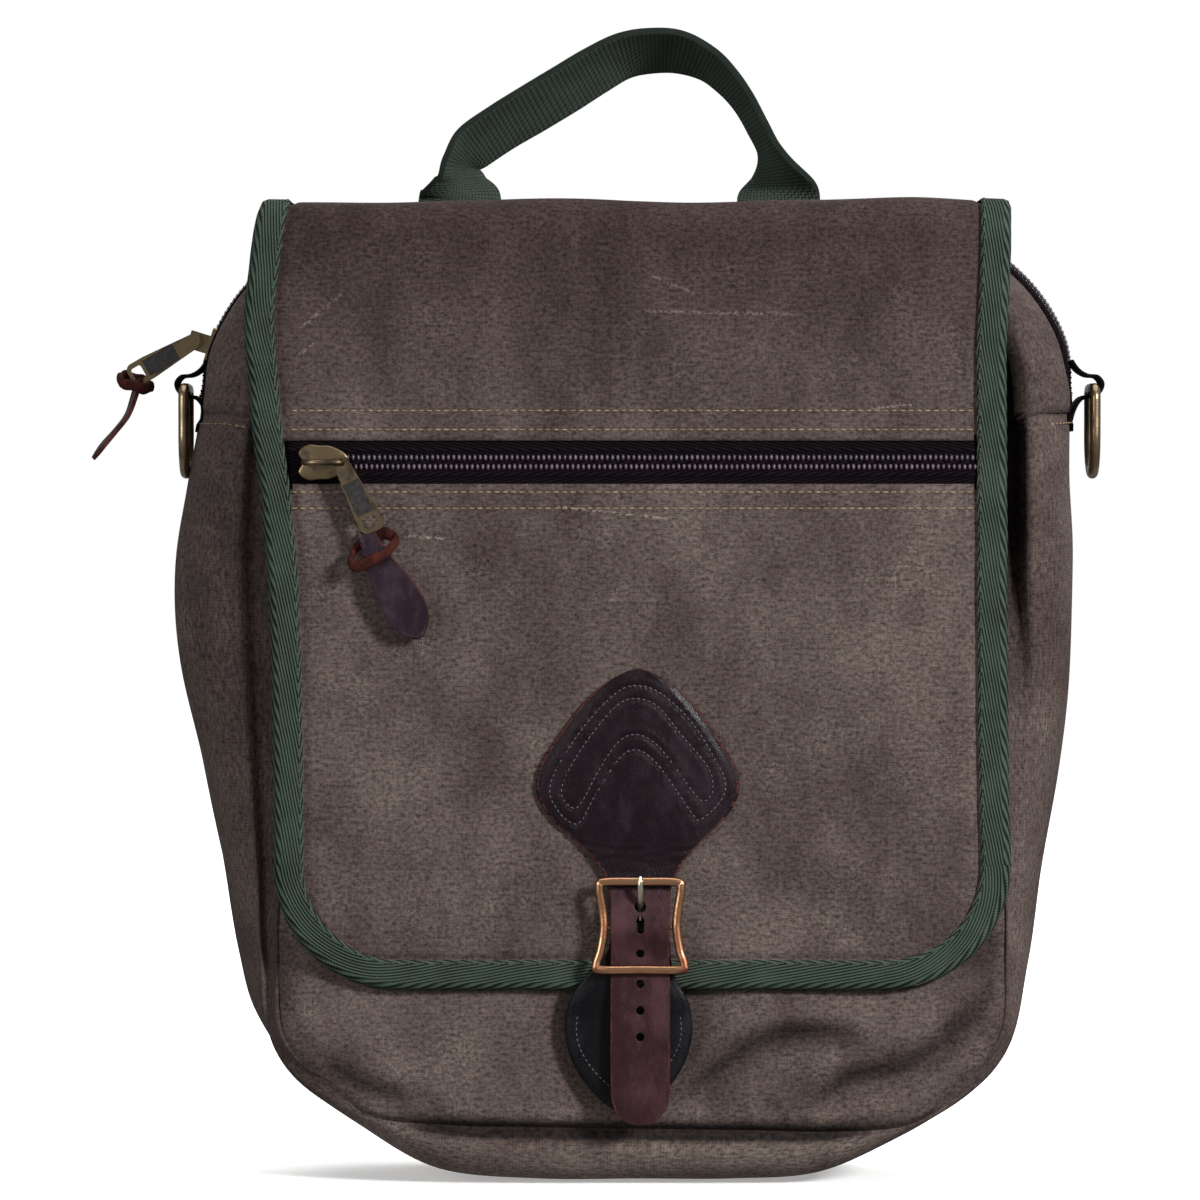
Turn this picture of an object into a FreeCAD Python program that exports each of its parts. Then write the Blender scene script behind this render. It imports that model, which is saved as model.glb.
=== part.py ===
"""Messenger bag of waxed canvas: body, flap, zips, strap closure, rings and handle.

Millimetres. +X is the wearer's view to the right, the front faces -Y, +Z is up.
The origin is the centre of the flat base.
"""
import FreeCAD, Part
import math
import os

import Sketcher
from FreeCAD import Placement, Rotation, Vector

doc = FreeCAD.newDocument("messenger_bag")
os.makedirs("parts", exist_ok=True)

sizes = {
    # bag body: outline of the seams and of the full bulge between them
    "panel_half": 139, "panel_low": 24, "panel_high": 352, "panel_low_round": 42,
    "panel_high_round": 56, "panel_thick": 3,
    "bulge_half": 164, "bulge_high": 357, "bulge_low_round": 96, "bulge_high_round": 62,
    "seam_y": 50, "bulge_y": 33, "gusset_thick": 2.5, "gusset_seam_z": 287,
    "lining_gap": 3.8, "lining_thick": 1,
    # main zip
    "zip_slot": 8, "tape_half": 14, "tape_thick": 0.8, "coil_half": 3.3, "coil_high": 1.6,
    "coil_gap": 0.2, "zip_end_z": 291, "slider_turn": 163,
    # flap
    "flap_half": 137, "flap_low": 76, "flap_high": 345, "flap_round": 46, "flap_back": 54,
    "flap_lining_thick": 1, "sack_back": 55, "sack_thick": 1.4, "sack_half": 128,
    "sack_low": 92, "sack_high": 300, "panel_back": 57, "canvas_thick": 1.5,
    "window_low": 262, "window_high": 277, "window_mid": 269.5, "fold_axis_z": 351.5,
    "fold_centre_y": 46, "fold_centre_z": 353.5, "fold_out": 12.5, "top_thick": 3,
    "rear_axis_y": 53.2, "binding_wrap": 2, "binding_width": 11, "binding_thick": 0.8,
    # leather closure
    "strap_half": 11, "strap_thick": 2, "head_thick": 2.2, "hole_pitch": 11.4,
    "bar_y": 62.8, "bar_z": 98, "bar_round": 1.3, "frame_back": 65.2, "frame_thick": 3,
    "snap_z": 50, "stud_round": 8, "stud_boss": 3,
    # rings, webbing and handle
    "ring_x": 171, "ring_z": 297, "ring_wire": 2, "ring_half": 15, "ring_drop": 32,
    "tab_half": 11, "web_thick": 2.5, "web_width": 32, "handle_y": 56.4, "handle_axis_z": 371,
    "handle_left": 69, "handle_right": 54, "handle_peak": 427,
    # zip pullers
    "puller_thick": 2.2, "puller_half": 4.5, "puller_long": 28, "lace_wire": 1.2, "lace_loop": 4.6,
    "tag_thick": 1.6,
}
sheet = doc.addObject("Spreadsheet::Sheet", "Sizes")
for row, (name, value) in enumerate(sizes.items(), 1):
    sheet.set(f"A{row}", name)
    sheet.set(f"B{row}", str(value))
    sheet.setAlias(f"B{row}", name)
doc.recompute()


def size(name):
    return float(sheet.get(name))


def cell(name, extra=0.0):
    """A sheet cell plus a fixed clearance, as an expression and as its number."""
    return f"Sizes.{name} + ({extra})", size(name) + extra


# ---------------------------------------------------------------- helpers

def new_body(label, place=None):
    body = doc.addObject("PartDesign::Body", label)
    body.Label = label
    if place:
        body.Placement = place
    return body


def sketch_on(body, role, offset):
    sketch = body.newObject("Sketcher::SketchObject", body.Name + "_sketch")
    plane = next(f for f in body.Origin.OriginFeatures if f.Role == role)
    sketch.AttachmentSupport = [(plane, "")]
    sketch.MapMode = "FlatFace"
    sketch.setExpression(".AttachmentOffset.Base.z", offset[0])
    return sketch


def bind(sketch, kind, refs, dimension, name):
    """A dimension constraint that follows its sheet cell."""
    index = sketch.addConstraint(Sketcher.Constraint(kind, *refs, dimension[1]))
    sketch.renameConstraint(index, name)
    sketch.setExpression("Constraints." + name, dimension[0])


def rounded_sketch(sketch, half, low, high, low_round=None, high_round=None):
    """A box outline symmetric about the local vertical, with optional corner radii."""
    wide, bottom, top = half[1], low[1], high[1]
    below = low_round[1] if low_round else 0
    above = high_round[1] if high_round else 0
    corners = [(wide, bottom, below, -90), (wide, top, above, 0),
               (-wide, top, above, 90), (-wide, bottom, below, 180)]
    points, arcs = [], []
    for x, z, radius, start in corners:
        centre = Vector(x - math.copysign(radius, x), z + (radius if z == bottom else -radius), 0)
        turn = [math.radians(start), math.radians(start + 90)]
        points.append([centre + Vector(math.cos(a), math.sin(a), 0) * radius for a in turn])
        arcs.append((centre, radius, turn))
    lines = []
    for i in range(4):
        first, last = points[i - 1][1], points[i][0]
        lines.append(sketch.addGeometry(Part.LineSegment(first, last)))
    bows = {}
    for i, (centre, radius, turn) in enumerate(arcs):
        if radius:
            circle = Part.Circle(centre, Vector(0, 0, 1), radius)
            bows[i] = sketch.addGeometry(Part.ArcOfCircle(circle, *turn))
    for i in range(4):
        after = lines[(i + 1) % 4]
        if i in bows:
            sketch.addConstraint(Sketcher.Constraint("Tangent", lines[i], 2, bows[i], 1))
            sketch.addConstraint(Sketcher.Constraint("Tangent", bows[i], 2, after, 1))
        else:
            sketch.addConstraint(Sketcher.Constraint("Coincident", lines[i], 2, after, 1))
        if i:
            kind = "Horizontal" if i % 2 == 0 else "Vertical"
            sketch.addConstraint(Sketcher.Constraint(kind, lines[i]))
    for a, b, radius, name in ((0, 3, low_round, "low_round"), (1, 2, high_round, "high_round")):
        if radius:
            sketch.addConstraint(Sketcher.Constraint("Equal", bows[a], bows[b]))
            bind(sketch, "Radius", (bows[a],), radius, name)
    sketch.addConstraint(Sketcher.Constraint("Symmetric", lines[0], 1, lines[0], 2, -2))
    bind(sketch, "DistanceX", (-1, 1, lines[1], 1), half, "half")
    bind(sketch, "DistanceY", (-1, 1, lines[0], 1), low, "low")
    bind(sketch, "DistanceY", (-1, 1, lines[2], 1), high, "high")


def pad(body, sketch, length):
    feature = body.newObject("PartDesign::Pad", body.Name + "_pad")
    feature.Profile = sketch
    feature.setExpression("Length", length[0])
    return feature


def pocket(body, sketch, length):
    feature = body.newObject("PartDesign::Pocket", body.Name + "_pocket")
    feature.Profile = sketch
    feature.setExpression("Length", length[0])
    return feature


def sheet_piece(label, back, thick, *shape):
    """A flat piece standing in XZ, from y = -back outwards to the front."""
    body = new_body(label)
    sketch = sketch_on(body, "XZ_Plane", back)
    rounded_sketch(sketch, *shape)
    pad(body, sketch, thick)
    return body


def block(name, low, high):
    """A Part::Box between two corners, each given as three expressions."""
    piece = doc.addObject("Part::Box", name)
    piece.Label = name
    for prop, axis, start, end in zip(("Length", "Width", "Height"), "xyz", low, high):
        piece.setExpression(prop, f"({end}) - ({start})")
        piece.setExpression(f".Placement.Base.{axis}", f"{start}")
    return piece


def cut(name, base, *tools):
    for i, tool in enumerate(tools):
        last = i == len(tools) - 1
        result = doc.addObject("Part::Cut", name if last else f"{name}_cut{i}")
        result.Base, result.Tool = base, tool
        base = result
    base.Label = name
    return base


def feature(name, shape, place=None):
    piece = doc.addObject("Part::Feature", name)
    piece.Label = name
    piece.Shape = shape
    if place:
        piece.Placement = place
    return piece


def outline(corners, y):
    """Closed wire in the plane y through corners (x, z, radius), each rounded by an arc."""
    edges, last = [], None
    first = None
    for i, (x, z, radius) in enumerate(corners):
        here = Vector(x, y, z)
        before = (Vector(corners[i - 1][0], y, corners[i - 1][1]) - here).normalize()
        follow = corners[(i + 1) % len(corners)]
        after = (Vector(follow[0], y, follow[1]) - here).normalize()
        half = before.getAngle(after) / 2
        reach = radius / math.tan(half)
        start, end = here + before * reach, here + after * reach
        if last is not None and (start - last).Length > 1e-6:
            edges.append(Part.LineSegment(last, start).toShape())
        if radius:
            depth = radius / math.sin(half) - radius
            middle = here + (before + after).normalize() * depth
            edges.append(Part.Arc(start, middle, end).toShape())
        first = first or start
        last = end
    if (first - last).Length > 1e-6:
        edges.append(Part.LineSegment(last, first).toShape())
    return Part.Wire(edges)


def slab(corners, near, far):
    """A flat piece between two planes of y, cut to a rounded outline."""
    return Part.Face(outline(corners, near)).extrude(Vector(0, far - near, 0))


def ribbon(points, half):
    """A profile of (y, z) points, as wide as 2 * half along X."""
    corners = [Vector(-half, y, z) for y, z in points]
    return Part.Face(Part.makePolygon(corners + corners[:1])).extrude(Vector(2 * half, 0, 0))


def mirrored(corners):
    """The right half of an outline, from the bottom up, completed on the left."""
    left = [(-x, z, r) for x, z, r in reversed(corners) if x > 0]
    return corners + left


# ---------------------------------------------------------------- bag body

def arch(half, low, high, low_round, high_round, y):
    return outline([(half, low, low_round), (half, high, high_round),
                    (-half, high, high_round), (-half, low, low_round)], y)


def bag_solid(inset):
    """The filled bag between its seams, shrunk all round by inset."""
    def seam(y):
        return arch(size("panel_half") - inset, size("panel_low") + inset,
                    size("panel_high") - inset, size("panel_low_round") - inset,
                    size("panel_high_round") - inset, y)

    def bulge(y):
        return arch(size("bulge_half") - inset, inset, size("bulge_high") - inset,
                    size("bulge_low_round") - inset, size("bulge_high_round") - inset, y)

    edge, full = size("seam_y"), size("bulge_y")
    return Part.makeLoft([seam(-edge), bulge(-full), bulge(full), seam(edge)], True, True)


def hoop(near, far, y_low, y_high, z_low, z_high):
    """The skin of the bag between two insets, kept between planes of y and z."""
    keep = Part.makeBox(400, y_high - y_low, z_high - z_low, Vector(-200, y_low, z_low))
    return bag_solid(near).cut(bag_solid(far)).common(keep)


edge, thick, seam_z = size("seam_y"), size("gusset_thick"), size("gusset_seam_z")
slot, tape = size("zip_slot"), size("tape_half")
coil, gap, zip_z = size("coil_half"), size("coil_gap"), size("zip_end_z")
tape_in = thick + size("tape_thick")

panel_shape = (cell("panel_half"), cell("panel_low"), cell("panel_high"),
               cell("panel_low_round"), cell("panel_high_round"))
sheet_piece("front_panel", cell("seam_y"), cell("panel_thick"), *panel_shape)
back = new_body("back_panel")
back_sketch = sketch_on(back, "XZ_Plane", ("-Sizes.seam_y - Sizes.panel_thick", 0))
rounded_sketch(back_sketch, *panel_shape)
pad(back, back_sketch, cell("panel_thick"))

feature("body_gusset", hoop(0, thick, -edge, edge, -1, seam_z))
feature("zip_gusset_front", hoop(0, thick, -edge, -slot, seam_z, 400))
feature("zip_gusset_rear", hoop(0, thick, slot, edge, seam_z, 400))
feature("main_zip_tape", Part.makeCompound([
    hoop(thick, tape_in, -tape, -gap, seam_z, 400),
    hoop(thick, tape_in, gap, tape, seam_z, 400)]))
coil_out = thick - size("coil_high")
feature("main_zip_coil", Part.makeCompound([
    hoop(coil_out, thick, -coil, -gap, zip_z, 400),
    hoop(coil_out, thick, gap, coil, zip_z, 400)]))
feature("main_zip_stops", Part.makeCompound([
    Part.makeBox(2, 1.6, 2.6, Vector(x, y, zip_z - 3))
    for x in (size("bulge_half") - thick, -size("bulge_half") + thick - 2)
    for y in (-2.2, 0.6)]))

lining_in = size("lining_gap")
lining = bag_solid(lining_in).cut(bag_solid(lining_in + size("lining_thick")))
for side in (-1, 1):
    wall = bag_solid(lining_in).common(
        Part.makeBox(400, 1, 400, Vector(-200, side * (edge - 0.6) - 0.5, 0)))
    lining = lining.fuse(wall)
mouth = Part.makeBox(400, 24, 200, Vector(-200, -12, seam_z))
feature("lining", lining.cut(mouth).removeSplitter())


def ring_tab(side):
    """Webbing folded round the bar of a D-ring and sewn to the top end of the gusset."""
    bar = Vector(side * size("ring_x"), -size("tab_half"), size("ring_z"))
    wide = 2 * size("tab_half")
    along = Vector(0, 1, 0)
    loop = Part.makeCylinder(size("ring_wire") + 3, wide, bar, along)
    start = min(side * size("bulge_half"), bar.x)
    leg = Part.makeBox(abs(bar.x) - size("bulge_half"), wide, 13,
                       Vector(start, bar.y, size("ring_z") - 5))
    hole = Part.makeCylinder(size("ring_wire") + 0.6, wide, bar, along)
    outside = Part.makeBox(20, wide, 40, Vector(side * size("bulge_half") - (20 if side > 0 else 0),
                                                bar.y, size("ring_z") - 20))
    return loop.fuse(leg).cut(hole).cut(outside).removeSplitter()


for side, label in ((-1, "tab_left"), (1, "tab_right")):
    feature(label, ring_tab(side))

stud = new_body("snap_stud", Placement(Vector(0, -size("seam_y") - size("panel_thick"),
                                               size("snap_z")), Rotation(Vector(1, 0, 0), 90)))
stud_sketch = sketch_on(stud, "XY_Plane", ("0", 0))
stud_sketch.addGeometry(Part.Circle(Vector(0, 0, 0), Vector(0, 0, 1), size("stud_round")))
stud_sketch.addConstraint(Sketcher.Constraint("Coincident", 0, 3, -1, 1))
bind(stud_sketch, "Radius", (0,), cell("stud_round"), "rim")
pad(stud, stud_sketch, ("0.9", 0.9))
boss_sketch = sketch_on(stud, "XY_Plane", ("0.9", 0.9))
boss_sketch.addGeometry(Part.Circle(Vector(0, 0, 0), Vector(0, 0, 1), size("stud_boss")))
boss_sketch.addConstraint(Sketcher.Constraint("Coincident", 0, 3, -1, 1))
bind(boss_sketch, "Radius", (0,), cell("stud_boss"), "boss")
pad(stud, boss_sketch, ("3.4", 3.4))

# ---------------------------------------------------------------- flap

hem = new_body("flap_hem")
hem_sketch = sketch_on(hem, "XZ_Plane", ("-Sizes.seam_y - Sizes.panel_thick - 2", -55))
rounded_sketch(hem_sketch, cell("flap_half"), cell("flap_high", -20), cell("fold_centre_z", 7))
pad(hem, hem_sketch, ("2", 2))


def fold_profile(outer, inner, half, middle=0.0):
    """The flap over the top: a flat run from the rear axis, then a quarter turn down in front."""
    y, z = -size("fold_centre_y"), size("fold_centre_z")
    rear = size("rear_axis_y")
    x = middle - half

    def quarter(radius):
        diagonal = radius * math.sqrt(0.5)
        return [Vector(x, y, z + radius), Vector(x, y - diagonal, z + diagonal),
                Vector(x, y - radius, z)]

    top, low = quarter(outer), quarter(inner)
    edges = [Part.LineSegment(Vector(x, rear, z + outer), top[0]).toShape(),
             Part.Arc(*top).toShape(),
             Part.LineSegment(top[2], low[2]).toShape(),
             Part.Arc(*reversed(low)).toShape(),
             Part.LineSegment(low[0], Vector(x, rear, z + inner)).toShape(),
             Part.LineSegment(Vector(x, rear, z + inner), Vector(x, rear, z + outer)).toShape()]
    return Part.Face(Part.Wire(edges)).extrude(Vector(2 * half, 0, 0))


out = size("fold_out")
inner = out - size("top_thick")
rear_round = Part.makeCylinder(size("top_thick") / 2, 2 * size("flap_half"),
                               Vector(-size("flap_half"), size("rear_axis_y"),
                                      size("fold_centre_z") + (out + inner) / 2), Vector(1, 0, 0))
flap_top = fold_profile(out, inner, size("flap_half"))
feature("flap_top", flap_top.fuse(rear_round).removeSplitter())

wrap, width, twill = size("binding_wrap"), size("binding_width"), size("binding_thick")
strips = []
for side in (-1, 1):
    middle = side * (size("flap_half") + wrap - width / 2)
    strip = fold_profile(out + twill, inner - twill, width / 2, middle)
    strips.append(strip.cut(fold_profile(out, inner, size("flap_half"))))
feature("flap_top_binding", Part.makeCompound(strips))

axis_z = size("fold_axis_z")
upper = Part.makeBox(2 * size("flap_half"), size("canvas_thick"), axis_z - size("window_high"),
                     Vector(-size("flap_half"), -size("panel_back") - size("canvas_thick"),
                            size("window_high")))
roll = Part.makeCylinder(size("canvas_thick") / 2, 2 * size("flap_half"),
                         Vector(-size("flap_half"),
                                -size("panel_back") - size("canvas_thick") / 2, axis_z),
                         Vector(1, 0, 0))
feature("flap_upper_panel", upper.fuse(roll).removeSplitter())
sheet_piece("flap_lower_panel", cell("panel_back"), cell("canvas_thick"), cell("flap_half"),
            cell("flap_low"), cell("window_low"), cell("flap_round"))
sheet_piece("flap_lining", cell("flap_back"), cell("flap_lining_thick"), cell("flap_half"),
            cell("flap_low"), cell("flap_high"), cell("flap_round"))

sack = block("sack_outside",
             ("-Sizes.sack_half", "-Sizes.sack_back - Sizes.sack_thick", "Sizes.sack_low"),
             ("Sizes.sack_half", "-Sizes.sack_back", "Sizes.sack_high"))
room = block("sack_room",
             ("-Sizes.sack_half + 1", "-Sizes.sack_back - Sizes.sack_thick + 0.3",
              "Sizes.sack_low + 1"),
             ("Sizes.sack_half - 1", "-Sizes.sack_back - 0.3", "Sizes.sack_high - 1"))
slit = block("sack_slit",
             ("-Sizes.sack_half + 8", "-Sizes.panel_back", "Sizes.window_mid - 3"),
             ("Sizes.sack_half - 8", "-Sizes.sack_back - 0.5", "Sizes.window_mid + 3"))
cut("pocket_sack", sack, room, slit)

binding = new_body("flap_binding")
binding_back = ("Sizes.flap_back - 0.4", 53.6)
binding_sketch = sketch_on(binding, "XZ_Plane", binding_back)
rounded_sketch(binding_sketch, cell("flap_half", wrap), cell("flap_low", -wrap),
               cell("flap_high"), cell("flap_round", wrap))
front_face = "Sizes.panel_back + Sizes.canvas_thick + Sizes.binding_thick"
pad(binding, binding_sketch, (f"{front_face} - Sizes.flap_back + 0.4", 0))
window = sketch_on(binding, "XZ_Plane", (front_face, 0))
rounded_sketch(window, cell("flap_half", wrap - width), cell("flap_low", width - wrap),
               cell("flap_high", 5), cell("flap_round", wrap - width))
pocket(binding, window, ("20", 20))
groove = sketch_on(binding, "XZ_Plane", ("Sizes.panel_back + Sizes.canvas_thick", 0))
rounded_sketch(groove, cell("flap_half"), cell("flap_low"), cell("flap_high", 5),
               cell("flap_round"))
pocket(binding, groove, ("Sizes.panel_back + Sizes.canvas_thick - Sizes.flap_back", 0))

zip_half = size("sack_half") - 4
middle_z, face = size("window_mid"), size("panel_back")
tapes, coils = [], []
for side in (-1, 1):
    near, far = sorted((middle_z + side * gap, middle_z + side * 13))
    tapes.append(Part.makeBox(2 * zip_half, 0.6, far - near, Vector(-zip_half, -face, near)))
    near, far = sorted((middle_z + side * gap, middle_z + side * coil))
    coils.append(Part.makeBox(2 * zip_half - 12, size("coil_high"), far - near,
                              Vector(-zip_half + 4, -face - size("coil_high"), near)))
feature("pocket_zip_tape", Part.makeCompound(tapes))
feature("pocket_zip_coil", Part.makeCompound(coils))
feature("pocket_zip_stops", Part.makeCompound([
    Part.makeBox(2, 1.6, 2.6, Vector(x, -face - 1.6, z))
    for x in (-zip_half + 1, zip_half - 6) for z in (middle_z - 3, middle_z + 0.4)]))

# ---------------------------------------------------------------- leather closure

panel_face = -size("panel_back") - size("canvas_thick")
head_outline = mirrored([(11, 25, 10.5), (11, 113, 9), (41, 148, 13), (0, 201, 12)])
lift = size("strap_thick")
strap_back = [(-60.4, 24), (-63.2, 70), (-62.6, 80), (-62.6, 87), (-65.8, 98), (-61.6, 114),
              (panel_face, 124), (panel_face, 200)]
strap_front = [(y - (size("head_thick") if y == panel_face else lift), z)
               for y, z in reversed(strap_back)]
leather = ribbon(strap_back + strap_front, 50).common(slab(head_outline, -40, -90))
holes = [Part.makeCylinder(1.8, 40, Vector(0, -40, 100.4 - size("hole_pitch") * i),
                           Vector(0, -1, 0)) for i in range(5)]
slot_box = Part.makeBox(4.6, 40, 8, Vector(-2.3, -80, 105.2))
feature("closure_strap", leather.cut(Part.makeCompound(holes + [slot_box])))

bar_y, bar_z = -size("bar_y"), size("bar_z")
frame_low, frame_high = 82, 116
frame_outer = mirrored([(16.6, frame_low, 3), (14.2, 99, 20), (15, frame_high, 3)])
frame_inner = mirrored([(12.6, frame_low + 4.2, 1.5), (12, 99, 20), (12.2, frame_high - 4.2, 1.5)])
front = -size("frame_back") - size("frame_thick")
frame = slab(frame_outer, -size("frame_back"), front).cut(
    slab(frame_inner, -size("frame_back"), front))
frame = frame.makeFillet(0.8, [e for e in frame.Edges if abs(e.CenterOfMass.y - front) < 0.01])
for side in (-1, 1):
    lug = Part.makeBox(1.9, size("frame_back") + bar_y + 2.2, 5.2,
                       Vector(12.3 if side > 0 else -14.2, -size("frame_back") - 0.5,
                              bar_z - 2.6))
    frame = frame.fuse(lug)
bar = Part.makeCylinder(size("bar_round"), 26, Vector(-13, bar_y, bar_z), Vector(1, 0, 0))
feature("buckle_frame", frame.fuse(bar).removeSplitter())

loop = Part.makeCylinder(2.6, 3.2, Vector(-1.6, bar_y, bar_z), Vector(1, 0, 0))
prong = loop.fuse(ribbon([(-61.2, 99), (-61.6, 103.5), (-62, 106), (-68.45, 111.4), (-68.6, 116.5),
                          (-70.2, 116.5), (-70.2, 110.9), (-63.5, 105.4), (-64.1, 102),
                          (-64.6, 99)], 1.6))
eye = Part.makeCylinder(size("bar_round") + 0.15, 5, Vector(-2.5, bar_y, bar_z), Vector(1, 0, 0))
feature("buckle_prong", prong.cut(eye).removeSplitter())

# lower tab: a strip folded round the centre bar, its two leaves sewn together below
tab_outline = mirrored([(8, 29, 8), (30.5, 63, 10), (11.4, 90, 6), (11.4, 104, 0)])
leaves = ribbon([(-56.6, 29), (-57.2, 66), (-60.1, 73), (-60.1, bar_z), (-65.5, bar_z),
                 (-62.2, 88), (-62.2, 73), (-60.0, 66), (-59.4, 29)], 40)
leaves = leaves.fuse(Part.makeCylinder(2.7, 60, Vector(-30, bar_y, bar_z), Vector(1, 0, 0)))
leaves = leaves.common(slab(tab_outline, -40, -90))
passage = Part.makeCylinder(size("bar_round") + 0.01, 60, Vector(-30, bar_y, bar_z),
                            Vector(1, 0, 0))
prong_slot = Part.makeBox(5, 20, 16, Vector(-2.5, -75, bar_z - 8))
socket_seat = Part.makeCylinder(7.5, 1.9, Vector(0, -56.5, size("snap_z")), Vector(0, -1, 0))
feature("snap_tab", leaves.cut(passage).cut(prong_slot).cut(socket_seat).removeSplitter())
socket = Part.makeCylinder(7.4, 1.5, Vector(0, -56.9, size("snap_z")), Vector(0, -1, 0))
socket = socket.cut(Part.makeCylinder(4, 0.9, Vector(0, -56.9, size("snap_z")), Vector(0, -1, 0)))
feature("snap_socket", socket)

# ---------------------------------------------------------------- zip sliders and pullers

def slider(label, ear, place):
    """Slider shell over the coils: local X along the chain, local Z outwards."""
    shell = Part.makeBox(14, 10.4, 3.5, Vector(-7, -5.2, -1.9))
    shell = shell.makeFillet(1.4, [e for e in shell.Edges
                                   if abs(e.BoundBox.ZMax - e.BoundBox.ZMin) > 3])
    channel = Part.makeBox(14, 7.8, 1.9, Vector(-7, -3.9, -1.9))
    feature(label, shell.cut(channel).fuse(ear).removeSplitter(), place)


def puller_plate(reach, drop):
    """Frame of a puller in its own plane: eye at the origin, lying along local -Z."""
    half, thick = size("puller_half"), size("puller_thick")
    plate = slab([(half, -drop, 2.5), (half, -drop + reach, 2.5), (2.6, 2.6, 2.5),
                  (-2.6, 2.6, 2.5), (-half, -drop + reach, 2.5), (-half, -drop, 2.5)],
                 thick / 2, -thick / 2)
    plate = plate.cut(Part.makeCylinder(1.5, 9, Vector(0, 4, 0), Vector(0, -1, 0)))
    lace_window = slab([(2.6, -drop + 1.4, 1), (2.6, -drop + 5.6, 1), (-2.6, -drop + 5.6, 1),
                        (-2.6, -drop + 1.4, 1)], 3, -3)
    seat = Part.makeBox(2 * half - 2.6, 0.8, drop - 15,
                        Vector(-half + 1.3, -thick / 2, -drop + 7))
    inset = Part.makeBox(2 * half - 2.8, 0.7, drop - 15.2,
                         Vector(-half + 1.4, -thick / 2, -drop + 7.1))
    return plate.cut(lace_window).cut(seat), inset


def lace_ring():
    """Suede lace: a ring through the puller's window that carries the tag."""
    loop = size("lace_loop")
    return Part.makeTorus(loop, size("lace_wire"), Vector(0, 0, -loop), Vector(1, 0, 0))


def tag_leaf():
    """Leather leaf that hangs from the lace, below the point where the lace turns."""
    loop, thick = size("lace_loop"), size("tag_thick")
    top = 2.8 - 2 * loop
    leaf = slab([(0, top - 30, 3), (8, top - 16, 6), (3.2, top, 2), (-3.2, top, 2),
                 (-8, top - 16, 6)], thick / 2, -thick / 2)
    return leaf.cut(Part.makeCylinder(1.7, 9, Vector(0, 4, -2 * loop), Vector(0, -1, 0)))


def puller_set(prefix, eye, turn, tag_turn):
    """Puller, inset, lace and tag, hanging from the point eye and turned about Y."""
    drop = size("puller_long")
    place = Placement(eye, Rotation(Vector(0, 1, 0), turn))
    plate, inset = puller_plate(8, drop)
    feature(prefix + "_puller", plate, place)
    feature(prefix + "_puller_inset", inset, place)
    knot = place.multVec(Vector(0, 0, 3.0 - drop))
    lean = Placement(knot, Rotation(Vector(0, 1, 0), tag_turn))
    feature(prefix + "_lace", lace_ring(), lean)
    feature(prefix + "_tag", tag_leaf(), lean)


pin_reach = 9.5
link_z = 3.7
link = Part.makeBox(4, 4, link_z, Vector(-5, -2, 1.4)).fuse(
    Part.makeBox(pin_reach + 5, 4, 1.6, Vector(-5, -2, link_z))).fuse(
    Part.makeCylinder(2.6, 1.6, Vector(pin_reach, 0, link_z))).fuse(
    Part.makeCylinder(1.2, 4.6, Vector(pin_reach, 0, link_z))).fuse(
    Part.makeCylinder(2.2, 0.8, Vector(pin_reach, 0, link_z + 4.2)))
coil_face = face + size("coil_high") + 0.4
pocket_x = -zip_half + 4.5
slider("pocket_slider", link, Placement(Vector(pocket_x, -coil_face, middle_z),
                                        Rotation(Vector(1, 0, 0), 90)))
puller_set("pocket", Vector(pocket_x + pin_reach, -coil_face - link_z - 2.9, middle_z), -26, -20)

turn = math.radians(size("slider_turn"))
centre = Vector(-size("bulge_half") + size("bulge_high_round"), 0,
                size("bulge_high") - size("bulge_high_round"))
outward = Vector(math.cos(turn), 0, math.sin(turn))
seat_round = size("bulge_high_round") - coil_out + 0.4
ear = Part.makeBox(7, 2.4, 8, Vector(-3.5, -1.2, 1.4)).cut(
    Part.makeCylinder(1.2, 9, Vector(0, 5, 7), Vector(0, -1, 0)))
pin = Part.makeCylinder(1.2, 7.4, Vector(0, 2, 7), Vector(0, -1, 0)).fuse(
    Part.makeCylinder(2.2, 0.8, Vector(0, -4.6, 7), Vector(0, -1, 0)))
slider("main_slider", ear.fuse(pin),
       Placement(centre + outward * seat_round,
                 Rotation(Vector(0, 1, 0), 90 - size("slider_turn"))))
eye = centre + outward * (seat_round + 7) + Vector(0, -2.95, 0)
puller_set("main", eye, 60, 27)

# ---------------------------------------------------------------- rings and handle

def d_ring(side, label):
    """A D of round wire: straight bar along Y through the tab, bow hanging below it."""
    half, drop, wire = size("ring_half"), size("ring_drop"), size("ring_wire")
    x, z = side * size("ring_x"), size("ring_z")
    turn_z = z - drop + half
    corner = 4.0
    bevel = corner * (1 - math.sqrt(0.5))
    
    def at(y, height):
        return Vector(x, y, height)

    path = Part.Wire([
        Part.LineSegment(at(-half + corner, z), at(half - corner, z)).toShape(),
        Part.Arc(at(half - corner, z), at(half - bevel, z - bevel), at(half, z - corner)).toShape(),
        Part.LineSegment(at(half, z - corner), at(half, turn_z)).toShape(),
        Part.Arc(at(half, turn_z), at(0, turn_z - half), at(-half, turn_z)).toShape(),
        Part.LineSegment(at(-half, turn_z), at(-half, z - corner)).toShape(),
        Part.Arc(at(-half, z - corner), at(-half + bevel, z - bevel),
                 at(-half + corner, z)).toShape()])
    section = Part.Wire(Part.makeCircle(wire, at(0, z), Vector(0, 1, 0)))
    feature(label, path.makePipeShell([section], True, False))


d_ring(-1, "left_ring")
d_ring(1, "right_ring")

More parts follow.
